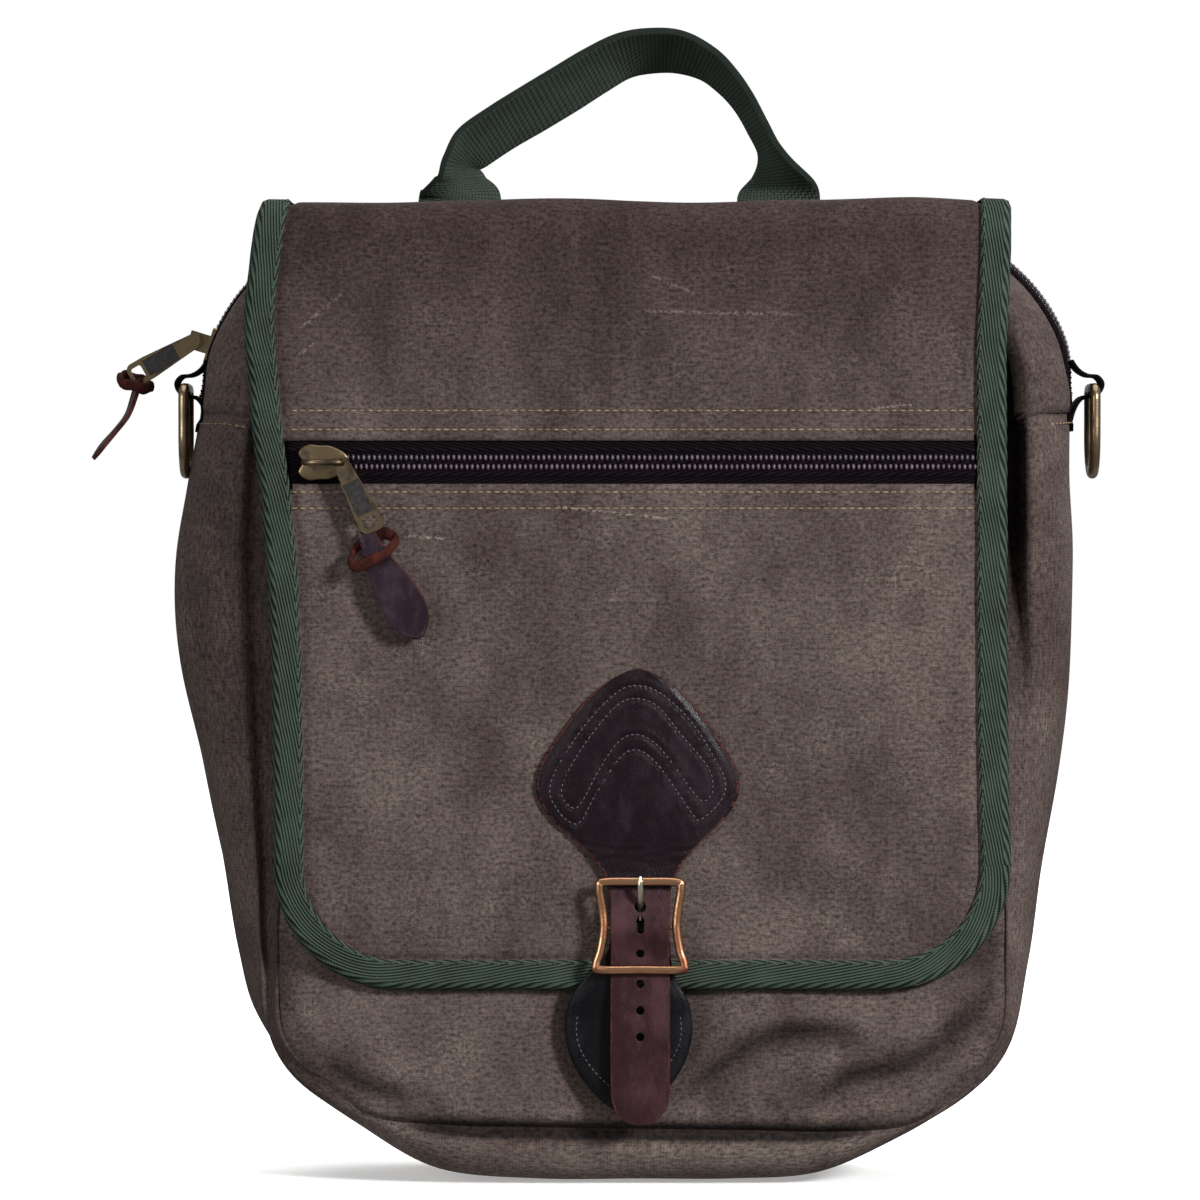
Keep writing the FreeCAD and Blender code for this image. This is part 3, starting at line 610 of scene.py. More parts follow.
def squareTurn(s, t):
    # where a spot of the square from (-1, -1) to (1, 1) lies round the stations
    reach = max(abs(s), abs(t))
    if reach < 1e-6:
        return 0.0, 0.0
    a, b = s / reach, t / reach
    if b <= -1 + 1e-9:
        return reach, between(-4.5, 4.5, (a + 1) / 2)
    if a >= 1 - 1e-9:
        return reach, between(4.5, 14.5, (b + 1) / 2)
    if b >= 1 - 1e-9:
        return reach, between(14.5, 21.5, (1 - a) / 2)
    return reach, between(21.5, 31.5, (1 - b) / 2)


def foldMark(x, z, line, width):
    # a soft ridge along a bent line that fades at both ends
    lengths = [math.dist(a, b) for a, b in zip(line, line[1:])]
    total, passed, nearest, where = sum(lengths), 0.0, 1e9, 0.0
    for (ax, az), (bx, bz), length in zip(line, line[1:], lengths):
        share = ((x - ax) * (bx - ax) + (z - az) * (bz - az)) / length ** 2
        share = min(max(share, 0), 1)
        off = math.hypot(x - between(ax, bx, share), z - between(az, bz, share))
        if off < nearest:
            nearest, where = off, (passed + share * length) / total
        passed += length
    fade = ease(0, 0.25, where) * (1 - ease(0.7, 1, where))
    return math.exp(-(nearest / width) ** 2) * fade


# soft folds in the front's lower half: (line of (x, z), width, height)
frontFolds = [
    ([(12, 29), (17, 36), (31, 46), (42, 53), (56, 57), (76, 56), (92, 54)], 3.8, -5.6),
    ([(14, 44), (28, 56), (44, 64), (62, 67), (84, 65)], 5.5, 3.2),
    ([(60, 26), (65, 34), (78, 42), (97, 45), (112, 54), (126, 70), (133, 86)], 4.4, -5.8),
    ([(56, 38), (66, 47), (84, 53), (102, 60), (116, 74)], 5, 2.6),
    ([(80, 30), (98, 34), (114, 43), (128, 58)], 7, 3.2),
    ([(47, 38), (51, 30), (56, 22)], 2.4, -3.2), ([(62, 30), (61, 21)], 2.2, -2.6),
    ([(70, 29), (72, 21)], 2.2, -1.6), ([(40, 33), (44, 22)], 2.6, 1.6),
    ([(108, 92), (124, 86), (134, 98)], 8, -3.2),
    ([(-136, 84), (-126, 64), (-112, 50)], 6, 2.2),
    ([(-122, 48), (-104, 40), (-82, 35)], 4.2, -3.4),
    ([(-112, 58), (-92, 46), (-64, 40)], 6, 2.2), ([(-80, 36), (-70, 27), (-60, 24)], 3, -2.4),
]


frontHem = [(-90, 26.5), (-70, 24), (0, 22.6), (70, 22), (90, 23.5)]     # the lower edge: (x, z)


def panelPoint(s, t, side):
    reach, turn = squareTurn(2 * s - 1, 2 * t - 1)
    sx, sz, _, _ = smoothThrough(bodyStations, turn, True)
    x, z = sx * reach, between(188, sz, reach)
    rim = 1 - ease(0.9, 1.0, reach)
    puff = 2.4 * (1 - reach ** 3)
    below = 1 - ease(62, 84, z)
    if side < 0:
        puff += 3.4 * below * rim * ease(10, 40, abs(x))
        for fold in frontFolds:
            puff += foldMark(x, z, *fold[:2]) * fold[2] * (0.35 + 0.65 * rim)
        if below < 0.4:
            puff = min(puff, between(2.2, 4.5, below / 0.4))
        puff = max(puff, between(1.2, -2.0, ease(31, 44, z)))     # stays clear of the seam's rim
    else:
        puff += 2.0 * ripple(x, z, 70, 4) * (1 - reach)
        puff = max(puff, 0)
    puff += 0.9 * ripple(x, z, 26, 12) * rim * below
    tuck = 5.4 * ease(0.955, 1.0, reach)
    # the panel's lower edge hangs over its seam
    hang = 5.2 * below * ease(0.8, 0.95, reach) * (1 - ease(96, 128, abs(x)))
    if side < 0:        # drawn in with the hollow behind the flap
        fall = hollowAt(sx, z) * ease(0.86, 0.97, reach)
        x -= min(1.1 * fall, 9.5) if x > 0 else -0.5 * fall
        tuck += 0.9 * fall
    return spot(x, side * (50.3 + puff - tuck), z - hang * (1 - ease(0.985, 1.0, reach)))


for name, side, node in (("frontPanel", -1, "front_panel"), ("backPanel", 1, "back_panel")):
    bm = gridMesh(120, 140, lambda s, t: panelPoint(s, t, side))
    if side > 0:
        bmesh.ops.reverse_faces(bm, faces=bm.faces)
    else:
        # painted shade mask: the fold valleys and the crease above the lower hem
        creaseShadeMask = bm.verts.layers.float.new("crease")
        for vert in bm.verts:
            x, z = vert.co.x / mm, vert.co.z / mm
            deep = sum(foldMark(x, z, fold[0], fold[1] * 0.8) * -fold[2] for fold in frontFolds
                       if fold[2] < 0)
            edge = (1 - ease(1.6, 4.6, z - readTable(frontHem, x))) * (1 - ease(74, 98, abs(x)))
            vert[creaseShadeMask] = min(0.13 * deep + 0.9 * edge, 0.93)
    thicken(finishPiece(name, bm, canvas, "bag", [node]), 1.6)


def sideSeamRow(name, turn, lift):
    line = [bodyPoint(turn, depth, 0.15 - lift) for depth in range(-44, -8, 2)]
    out = (bodyPoint(turn, -30, -3) - bodyPoint(turn, -30)).normalized()
    stitchRow(name, line, "bag", thread, out, 3.1, (2.2, 0.62))


sideSeamRow("sideSeamRight", zipRight - 0.16, 0.2)
sideSeamRow("sideSeamLeft", zipLeft + 0.16, 0.2)
print("bag body made")


# ---- flap ----

bindingLook = {"wide": 11.2, "proud": 1.0, "backProud": 5.6, "wave": 0.35}
flapLook = {"topZ": 366, "frontY": -58.5, "foldFront": 12.5, "foldRear": 9, "rearY": 54.9,
            "low": 74.5, "corner": 46, "backLift": -4.4}
quarterFront = flapLook["foldFront"] * math.pi / 2
quarterRear = flapLook["foldRear"] * math.pi / 2
topFront = -flapLook["frontY"] - flapLook["foldFront"]
topRear = flapLook["rearY"] - flapLook["foldRear"]

# outer edge of the flap at a height: (z, x)
leftEdge = [(60, -135.5), (137, -135.5), (180, -136), (223, -137.2), (256, -140), (285, -143.5),
            (320, -146), (345, -144), (366, -141), (380, -140)]
rightEdge = [(60, 137.5), (115, 137.2), (158, 136.2), (223, 135.6), (278, 135.4), (300, 135),
             (344, 136.5), (366, 137), (380, 138)]


def downFrom(z):                 # distance from the top's middle line, over the fold, to z
    return topFront + quarterFront + (flapLook["topZ"] - flapLook["foldFront"]) - z


def heightAt(down):
    return topFront + quarterFront + (flapLook["topZ"] - flapLook["foldFront"]) - down


def flapEdge(side, down):        # outer edge of the flap at a distance down it
    z = min(heightAt(down), 372) if down > 0 else 372
    x = readTable(leftEdge if side < 0 else rightEdge, z)
    over = flapLook["low"] + flapLook["corner"] - z
    if over > 0:
        radius = flapLook["corner"]
        x -= side * (radius - math.sqrt(max(radius * radius - over * over, 0)))
    return x


def flapWave(x, down):
    # how far the cloth stands off its nominal surface
    z = heightAt(down)
    nearZip = ease(6, 26, abs(z - 269.5))
    nearStrap = ease(30, 62, abs(x)) + ease(205, 235, z)
    calm = nearZip * min(nearStrap, 1) * ease(-20, 30, down)
    wave = 1.5 * ripple(x, z, 85, 1.7) + 0.7 * ripple(x, z, 34, 5.5)
    wave += 1.4 * foldMark(x, z, [(60, 230), (95, 120)], 16)
    wave += (1.2 * foldMark(x, z, [(-100, 200), (-70, 110)], 18)
             - 1.6 * foldMark(x, z, [(34, 116), (96, 92)], 9))
    wave += (1.3 * foldMark(x, z, [(40, 130), (100, 112)], 9)
             - 1.0 * foldMark(x, z, [(16, 128), (30, 90)], 5))
    wave -= 0.9 * foldMark(x, z, [(70, 200), (84, 110)], 7)
    return wave * calm


def flapPoint(x, down, lift=0.0):
    # the flap's outside: down 0 is the middle of the top, lift stands off it
    lift += flapWave(x, down)
    if down >= 0:
        flat, radius, sign, quarter = topFront, flapLook["foldFront"], -1, quarterFront
    else:
        flat, radius, sign, quarter = topRear, flapLook["foldRear"], 1, quarterRear
    run = abs(down)
    top = flapLook["topZ"] + 1.1 * ripple(x, 0, 60, 9.3) * ease(0, 40, 140 - abs(x))
    if run <= flat:
        return spot(x, sign * run, top + lift)
    if run <= flat + quarter:
        angle = (run - flat) / radius
        reach = radius + lift
        return spot(x, sign * (flat + reach * math.sin(angle)),
                    top - radius + reach * math.cos(angle))
    blend = 1 - ease(0, 40, run - flat - quarter)
    settle = (top - flapLook["topZ"]) * blend
    return spot(x, sign * (flat + radius + lift),
                flapLook["topZ"] - radius - (run - flat - quarter) + settle)


def flapSheet(name, fromDown, toDown, material, nodes, inset, lift=0.0, thick=1.4,
              columns=150, rows=90, squeeze=False, dip=1.1):
    def spread(s, t):            # (x, down) of a spot, finer towards the edges
        share = 1 - (1 - t) ** 1.7 if squeeze else t
        down = between(fromDown, toDown, share)
        left, right = flapEdge(-1, down) + inset, flapEdge(1, down) - inset
        across = 0.5 - 0.5 * math.cos(math.pi * s) if dip else s
        return Vector((between(left, right, between(s, across, 0.7)), down))

    def place(s, t):
        x, down = spread(s, t)
        room = min(x - flapEdge(-1, down), flapEdge(1, down) - x,
                   toDown + inset - down if toDown > 300 else 99)
        sunk = dip * math.exp(-((room - bindingLook["wide"] - 0.6) / 1.5) ** 2)
        return flapPoint(x, down, lift - sunk)

    def cut(s, t):
        x, down = spread(s, t)
        return Vector((x, -down))
    bm = gridMesh(columns, rows, place, None, cut)
    bmesh.ops.reverse_faces(bm, faces=bm.faces)
    piece = finishPiece(name, bm, material, None, nodes)
    thicken(piece, thick)
    return applyAll(piece)


windowTop, windowLow = downFrom(277.5), downFrom(261.5)
flapEnd = downFrom(flapLook["low"])
flapUpper = flapSheet("flapUpper", 0, windowTop, flapCanvas,
                      ["flap_upper_panel", "flap_top"], 3)
flapRear = flapSheet("flapRear", -92, 0, flapCanvas, ["flap_hem"], 3, rows=50)
flapLower = flapSheet("flapLower", windowLow, flapEnd - 2, flapCanvas,
                      ["flap_lower_panel"], 2.5, rows=110, squeeze=True)
flapBacking = flapSheet("flapBacking", downFrom(340), flapEnd - 2, linen,
                        ["flap_lining", "pocket_sack"], 3, flapLook["backLift"] + 0.9, 0.9,
                        columns=60, rows=60, squeeze=True, dip=0)
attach(flapLower, "flap")
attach(flapBacking, "flap")
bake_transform(flapUpper)
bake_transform(flapRear)


# binding: twill tape folded over the flap's edge

def edgeRoute(step=2.0):
    # the flap's outline on its flattened cloth: (x, down), from the left of the top to the right
    rows = []
    down = 0.0
    cornerTop = flapEnd - flapLook["corner"]
    while down < cornerTop:
        rows.append((flapEdge(-1, down), down))
        down += step
    turns = 26
    radius = flapLook["corner"]
    for side, order in ((-1, range(turns + 1)), (1, range(turns, -1, -1))):
        if side > 0:
            left, right = rows[-1][0], flapEdge(1, flapEnd)
            steps = int((right - left) / step)
            rows += [(between(left, right, n / steps), flapEnd) for n in range(1, steps)]
        edge = readTable(leftEdge if side < 0 else rightEdge, flapLook["low"] + radius)
        for n in order:
            angle = n / turns * math.pi / 2
            rows.append((edge - side * radius * (1 - math.cos(angle)),
                         cornerTop + radius * math.sin(angle)))
    right = []
    down = 0.0
    while down < cornerTop:
        right.append((flapEdge(1, down), down))
        down += step
    return rows + right[::-1]




def tapeAcross(t):
    # a spot across the folded tape: (in from the edge, lift), from the front to the back
    wide, proud, back = bindingLook["wide"], bindingLook["proud"], bindingLook["backProud"]
    middle, half = (proud - back) / 2, (proud + back) / 2
    if t < 0.42:
        share = t / 0.42
        return between(wide, half * 0.8, share), proud - 0.7 * (1 - ease(0, 0.08, share))
    if t > 0.58:
        share = (t - 0.58) / 0.42
        return between(half * 0.8, wide, share), -back
    angle = (t - 0.42) / 0.16 * math.pi
    return half * 0.8 * (1 - math.sin(angle)), middle + half * math.cos(angle)


def tapeMesh(route, rows=22):        # the tape's cloth follows the route's true length
    lengths = [0.0]
    for (x0, d0), (x1, d1) in zip(route, route[1:]):
        lengths.append(lengths[-1] + math.hypot(x1 - x0, d1 - d0))

    def place(s, t):
        number = round(s * (len(route) - 1))
        x, down = route[number]
        before, after = route[max(number - 1, 0)], route[min(number + 1, len(route) - 1)]
        run = Vector((after[0] - before[0], after[1] - before[1])).normalized()
        inwards = Vector((run.y, -run.x))
        into, lift = tapeAcross(t)
        into += bindingLook["wave"] * ripple(number * 2.0, t * 3, 14, 2.2)
        here = Vector((x, down)) + inwards * into
        return flapPoint(here.x, here.y, lift)
    bm = gridMesh(len(route) - 1, rows, place, (lengths[-1], 28))
    bmesh.ops.recalc_face_normals(bm, faces=bm.faces)
    return bm


frontTape = finishPiece("flapBinding", tapeMesh(edgeRoute()), twill, None,
                        ["flap_binding", "flap_top_binding"])
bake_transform(frontTape)
for side, name in ((-1, "rearBindingLeft"), (1, "rearBindingRight")):
    route = [(flapEdge(side, 0), -d) for d in range(0, 93, 2)]
    if side < 0:
        route = route[::-1]
    rearTape = finishPiece(name, tapeMesh(route), twill, None)
    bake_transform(rearTape)


def bindingStitches(name, route):
    points, normals = [], []
    for number in range(0, len(route)):
        x, down = route[number]
        before, after = route[max(number - 1, 0)], route[min(number + 1, len(route) - 1)]
        run = Vector((after[0] - before[0], after[1] - before[1])).normalized()
        here = Vector((x, down)) + Vector((run.y, -run.x)) * (bindingLook["wide"] - 1.1)
        points.append(flapPoint(here.x, here.y, 1.05))
        normals.append(flapPoint(here.x, here.y, 2.0) - points[-1])
    lookUp = {tuple(round(c, 6) for c in point): normal for point, normal in zip(points, normals)}

    def outwards(place):
        near = min(lookUp, key=lambda k: (Vector(k) - place).length_squared)
        return lookUp[near].normalized()
    piece = stitchRow(name, points, None, greenThread, outwards, 2.7, (1.9, 0.6))
    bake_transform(piece)


bindingStitches("bindingStitches", edgeRoute())
print("flap made")


# ---- pocket zip ----

zipLook = {"z": 269.5, "left": -130, "right": 127, "pitch": 1.95, "tooth": (2.3, 1.25)}


def flatTape(s, t):
    x = between(zipLook["left"], zipLook["right"], s)
    z = between(259.4, 279.6, t)
    ridge = 0.55 * math.exp(-((abs(z - zipLook["z"]) - 4.6) / 0.6) ** 2)
    return flapPoint(x, downFrom(z), -1.5 + ridge)


zipTape = finishPiece("pocketZipTape", gridMesh(60, 60, flatTape, (257, 20.2)), zipCloth, "flap",
                      ["pocket_zip_tape"])
thicken(zipTape, 0.6, 1.0)


def toothShape():
    # one turn of the coil: a rounded bar across the chain
    bm = bmesh.new()
    long, thick = zipLook["tooth"]
    bmesh.ops.create_uvsphere(bm, u_segments=8, v_segments=6, radius=0.5)
    bmesh.ops.scale(bm, vec=Vector((thick, long, 1.5)) * mm, verts=bm.verts)
    return bm


def coilFrames(points, outwardsAt, spread):
    frames = []
    for side, share in ((-1, 0.0), (1, 0.5)):
        for here, run in walk(points, zipLook["pitch"], False, share - 0.25):
            out = outwardsAt(here)
            across = out.cross(run.normalized())
            frames.append((here + across * side * spread * mm, run, out))
    return frames


front = Vector((0, -1, 0))
coilLine = [spot(x, -57.75, zipLook["z"]) for x in (-119, 125)]
repeatAlong("pocketZipCoil", toothShape, coilFrames(coilLine, lambda p: front, 1.7), coilPlastic,
            "flap", ["pocket_zip_coil", "pocket_zip_stops"])

stitchRows = {"aboveHigh": 288.5, "aboveLow": 281.5, "belowHigh": 258.5, "belowLow": 252.5}
for name, z in stitchRows.items():
    down = downFrom(z)
    row = [flapPoint(x, down, 0.15) for x in range(-129, 126, 3)]
    stitchRow("stitch_" + name, row, "flap", thread, front, 3.1, (2.2, 0.62))

sliderLook = {"x": -117, "long": 9.8, "wide": 7.0, "face": -60.9, "thick": 1.9,
              "bridge": [(-123.8, -61.6, 269.5), (-123.4, -64.6, 269.5), (-120.8, -67.2, 269.5),
                         (-116, -67.9, 269.5), (-112, -67.9, 269.5), (-110.2, -66.9, 269.5),
                         (-110, -64.6, 269.5), (-110, -61.4, 269.5)]}


def sliderShell():
    # the plate that rides on the coils: two lobes where they part, narrower where they meet
    look = sliderLook
    bm = bmesh.new()
    bmesh.ops.create_circle(bm, cap_ends=True, segments=64, radius=1)
    for vert in bm.verts:
        angle = math.atan2(vert.co.y, vert.co.x)
        x = look["long"] * math.copysign(abs(math.cos(angle)) ** 0.75, math.cos(angle))
        z = look["wide"] * math.copysign(abs(math.sin(angle)) ** 0.75, math.sin(angle))
        z *= 1 - 0.26 * ease(-2, 9, x) - 0.1 * math.exp(-((x + 1) / 2.4) ** 2)
        x += 2.6 * math.exp(-(z / 2.4) ** 2) * ease(0, 8, -x)
        vert.co = spot(look["x"] + x, look["face"], zipLook["z"] + z)
    grown = bmesh.ops.extrude_face_region(bm, geom=bm.faces[:])["geom"]
    raised = [item for item in grown if isinstance(item, bmesh.types.BMVert)]
    bmesh.ops.translate(bm, verts=raised, vec=(0, -look["thick"] * mm, 0))
    face = next(item for item in grown if isinstance(item, bmesh.types.BMFace))
    bmesh.ops.bevel(bm, geom=list(face.edges), offset=0.8 * mm, offset_type="OFFSET", segments=3,
                    affect="EDGES", profile=0.5, material=-1)
    block = bmesh.ops.create_cube(bm, size=1)["verts"]       # reaches down to the coils
    bmesh.ops.scale(bm, vec=Vector((4, 2.4, 7)) * mm, verts=block)
    bmesh.ops.translate(bm, vec=spot(-119, -59.95, 269.5), verts=block)
    bmesh.ops.recalc_face_normals(bm, faces=bm.faces)
    return bm


finishPiece("pocketSliderShell", sliderShell(), darkBrass, "pocket_slider",
            ["pocket_slider"])

# ---- main zip ----

def bodyOut(place):
    middle = Vector((math.copysign(102, place.x) * mm, place.y, 295 * mm))
    if abs(place.x) < 102 * mm:
        return Vector((0, 0, 1))
    if place.z < 295 * mm:
        return Vector((math.copysign(1, place.x), 0, 0))
    return (place - middle).normalized()


archLine = [bodyPoint(between(zipLeft - 0.2, zipRight + 0.2, n / 400), 0, -1.6)
            for n in range(401)]
repeatAlong("mainZipCoil", toothShape, coilFrames(archLine, bodyOut, 1.65), coilPlastic, "bag",
            ["main_zip_coil"])
print("zips made")


# ---- leather closure ----

# half width of the strap and its diamond head at a height: (z, half)
strapHalf = [(25, 0.9), (25.5, 4.0), (27.5, 7.2), (31, 9.6), (36, 10.8), (60, 11), (90, 10.8),
             (112, 11.2), (118, 13.2), (122, 16), (126, 19.6), (133, 26.4), (138, 32), (144, 36),
             (150.5, 37.6), (158, 35.8), (165, 31.6), (173, 26), (181, 19.8), (186, 14.6),
             (190, 9.2), (192.4, 4.6), (193.5, 1.0)]
# outer face of the strap: (z, distance in front)
strapFace = [(20, 62.2), (45, 64.2), (70, 65.1), (80, 64.7), (88, 65.2), (94, 67.2), (98.5, 67.9),
             (103, 66.6), (109, 65.0), (114, 63.2), (119, 61.6), (126, 60.9), (160, 60.8),
             (200, 60.8)]
strapLook = {"thick": 2.0, "holes": (100.4, 88.7, 77.5, 67.6, 57.8), "hole": 1.55}


# two rows of stitches in the head, as (x, z)
headStitch = [(-1.1, 187.2), (8, 184), (19, 173.6), (27, 161), (31.4, 151.7), (29.6, 144.6),
              (22.6, 138), (19.6, 139.4), (11.9, 150.6), (5, 159.6), (-1.7, 163.5), (-8, 160),
              (-17, 146), (-21.5, 137.6), (-25, 136.4), (-30, 140.6), (-33.4, 148.2), (-30, 158),
              (-20.4, 172.5), (-9, 184.4)]
innerStitch = [(-1.7, 182.4), (6.4, 179.5), (15.5, 168.6), (25, 157), (26.8, 149), (24.2, 144.8),
               (20.8, 146.4), (9.6, 161.4), (4, 167), (-2.2, 169.2), (-8.5, 166), (-15.5, 155.6),
               (-21, 145.2), (-24.6, 142), (-29, 147), (-26.4, 156), (-17.6, 169.6), (-8.4, 180)]


def smoothLoop(corners, count=160):
    return [smoothThrough(corners, n * len(corners) / count, True) for n in range(count)]


sewnSpots = [Vector(stitchPoint) for corners in (headStitch, innerStitch)
             for stitchPoint in smoothLoop(corners, 90)]


def strapPoint(s, t):
    # rows crowd at the tip and at the top, where the outline turns
    z = between(25, 193.5, 0.5 - 0.5 * math.cos(math.pi * t) * (1 - 0.25 * math.sin(math.pi * t)))
    half = max(readTable(strapHalf, z), 0.0)
    a = 2 * s - 1
    edge = 0.7 * ease(0.8, 1.0, abs(a)) * ease(120, 135, z)
    cup = 0.8 * ease(118, 150, z) * (1 - a * a) * (1 - ease(165, 193, z))
    x = half * a - 0.9 * ease(118, 140, z)
    sewn = 0.0
    if z > 132:
        near = min((Vector((x, z)) - sewnSpot).length for sewnSpot in sewnSpots)
        sewn = 0.4 * math.exp(-(near / 0.8) ** 2) - 0.2 * math.exp(-((near - 2) / 1.2) ** 2)
    crease = (0.5 * noise.noise(Vector((x / 9, z / 1.5, 3)))
              * ease(113, 118, z) * (1 - ease(124, 132, z)))
    return spot(x, -readTable(strapFace, z) + edge - cup * 0.5 + sewn + crease, z)


def punch(piece, places, radius, lowY, highY):
    # round holes straight through a piece, front to back
    bm = bmesh.new()
    for x, z in places:
        turn = (Matrix.Translation(spot(x, (lowY + highY) / 2, z))
                @ Matrix.Rotation(math.pi / 2, 4, "X"))
        bmesh.ops.create_cone(bm, cap_ends=True, segments=20, radius1=radius * mm,
                              radius2=radius * mm, depth=abs(highY - lowY) * mm, matrix=turn)
    mesh = bpy.data.meshes.new("punchTool")
    bm.to_mesh(mesh)
    bm.free()
    tool = bpy.data.objects.new("punchTool", mesh)
    bpy.context.scene.collection.objects.link(tool)
    cutting = piece.modifiers.new("punch", "BOOLEAN")
    cutting.object = tool
    cutting.operation = "DIFFERENCE"
    cutting.solver = "EXACT"
    bpy.context.view_layer.update()
    applyAll(piece)
    bpy.data.objects.remove(tool)
    return piece


strap = finishPiece("closureStrap", gridMesh(64, 230, strapPoint), darkHide, None,
                    ["closure_strap"], (rawEdge, strapHide, rawEdge))
for face in strap.data.polygons:         # the tail is the redder, drier side of the hide
    here = face.center / mm
    fringe = readTable(strapHalf, here.z) - abs(here.x + 0.9 * ease(118, 140, here.z))
    if fringe < 0.55 + 0.5 * noise.noise(here * 0.8):
        face.material_index = 1
    elif here.z < 113:
        face.material_index = 2
thicken(strap, strapLook["thick"], -1.0, 1)
punch(strap, [(0, z) for z in strapLook["holes"]], strapLook["hole"], -80, -50)
punch(strap, [(0, 106)], 2.1, -80, -50)
for z in (97.6, 99.3, 101):        # an oblong one where the prong turns
    punch(strap, [(0, z)], 1.5, -80, -50)
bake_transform(strap)

# lower tab, folded round the buckle's bar: (distance up the leaf, y, z, half width)
tabRows = [(-58.6, 28, 0.8), (-58.9, 30, 5.4), (-59.3, 34, 10.6), (-59.8, 42, 17.4),
           (-60.2, 50, 21.6), (-60.6, 58, 23.4), (-61.0, 65, 23.3), (-62.2, 72, 21.4),
           (-62.7, 80, 16.4), (-62.9, 87, 12.2), (-64.2, 92.5, 11), (-65.3, 97, 10.8),
           (-63.6, 100.8, 10.8), (-60.6, 99.4, 10.8), (-60.2, 92, 10.8), (-60.2, 80, 11)]


def tabPoint(s, t):
    y, z, half = smoothThrough(tabRows, t * (len(tabRows) - 1))
    a = 2 * s - 1
    droop = 1.0 * ease(0.75, 1.0, abs(a)) * (1 - ease(74, 84, z))
    return spot(half * a - 4.2 * (1 - ease(76, 92, z)), y + droop, z)


tab = finishPiece("snapTab", gridMesh(24, 110, tabPoint), patchHide, "closure",
                  ["snap_tab"], (rawEdge,))
thicken(tab, 1.9, -1.0, 1)

for name, corners in (("headStitchOuter", headStitch), ("headStitchInner", innerStitch)):
    line = [spot(x, -61.05 if abs(x) < 27 else -60.7, z) for x, z in smoothLoop(corners)]
    stitchRow(name, line, "flap", greyThread, front, 2.0, (1.4, 0.6), True)
tabStitch = [(0, 34), (8, 40), (14.5, 47), (18.6, 55), (19.2, 63), (17, 71), (12, 78)]
for side in (-1, 1):
    line = [(side * x - 4.2, z) for x, z in tabStitch]
    line = [smoothThrough(line, n / 12) for n in range(12 * (len(line) - 1) + 1)]
    line = [spot(x, -60.1 - 0.03 * (z - 45), z) for x, z in line]
    stitchRow("tabStitch" + ("Left" if side < 0 else "Right"), line, "closure",
              greyThread, front, 2.0, (1.4, 0.55))


# buckle: a bar of round stock bent to a frame, its prong and the bar behind the strap
buckleLook = {
    "frame": [(-13.2, 115.2), (0, 115.4), (13.2, 115.2), (15, 113), (13.9, 105), (13.4, 98),
              (14.6, 90), (16.2, 84.6), (14.6, 82.9), (0, 82.9), (-14.6, 82.9), (-16.2, 84.6),
              (-14.6, 90), (-13.4, 98), (-13.9, 105), (-15, 113)],
    "y": -66.6, "stock": 1.65, "deep": 1.5,
    "prong": [(0, -62.8, 96.9), (0, -62.4, 100), (0, -62.9, 103.4), (0, -64.6, 106.2),
              (0, -66.9, 108.6), (0, -68.6, 111.6), (0, -69.3, 114.6), (0, -69.2, 117.4)],
}


def sweep(name, route, radii, material, body, nodes, closed=False, squash=1.0, steps=60):
    # a round bar along a route of (x, y, z), with its radius at each
    def place(s, t):
        where = s * (len(route) if closed else len(route) - 1)
        here = Vector(smoothThrough(route, where, closed))
        ahead = Vector(smoothThrough(route, where + 0.02, closed))
        behind = here
        if closed or where > 0.02:
            behind = Vector(smoothThrough(route, where - 0.02, closed))
        run = (ahead - behind).normalized()
        side = run.cross(Vector((0, 1, 0)))
        if abs(run.x) < 0.2 and not closed:
            side = Vector((1, 0, 0))
        side = (side - run * side.dot(run)).normalized()
        other = run.cross(side)
        radius = radii[0]
        if len(radii) > 1:
            radius = smoothThrough([(r,) for r in radii], where, closed)[0]
        turn = t * 2 * math.pi
        return (here + side * radius * math.cos(turn)
                + other * radius * squash * math.sin(turn)) * mm
    bm = gridMesh(steps, 14, place)
    bmesh.ops.remove_doubles(bm, verts=bm.verts, dist=0.005 * mm)
    if not closed:
        bmesh.ops.holes_fill(bm, edges=bm.edges)
    bmesh.ops.recalc_face_normals(bm, faces=bm.faces)
    return finishPiece(name, bm, material, body, nodes)


frameRoute = [(x, buckleLook["y"] + (0.5 if abs(z - 98) < 12 else 0), z)
              for x, z in buckleLook["frame"]]
sweep("buckleFrame", frameRoute, [buckleLook["stock"]], copper, "closure",
      ["buckle_frame"], True, buckleLook["deep"] / buckleLook["stock"], 160)
sweep("buckleBar", [(-13.4, -62.9, 98), (-6, -62.5, 98), (6, -62.5, 98), (13.4, -62.9, 98)], [0.9],
      copper, "closure", [], steps=12)
sweep("bucklePost", [(-13.6, -66.4, 98), (-13.5, -64, 98), (-13.3, -62.6, 98)], [0.9], copper,
      "closure", [], steps=8)
sweep("bucklePostRight", [(13.6, -66.4, 98), (13.5, -64, 98), (13.3, -62.6, 98)], [0.9], copper,
      "closure", [], steps=8)
sweep("buckleProng", buckleLook["prong"], [1.5, 1.3, 1.2, 1.2, 1.2, 1.2, 1.15, 0.7], nickel,
      "prong", ["buckle_prong"])
print("closure made")


# ---- handle ----

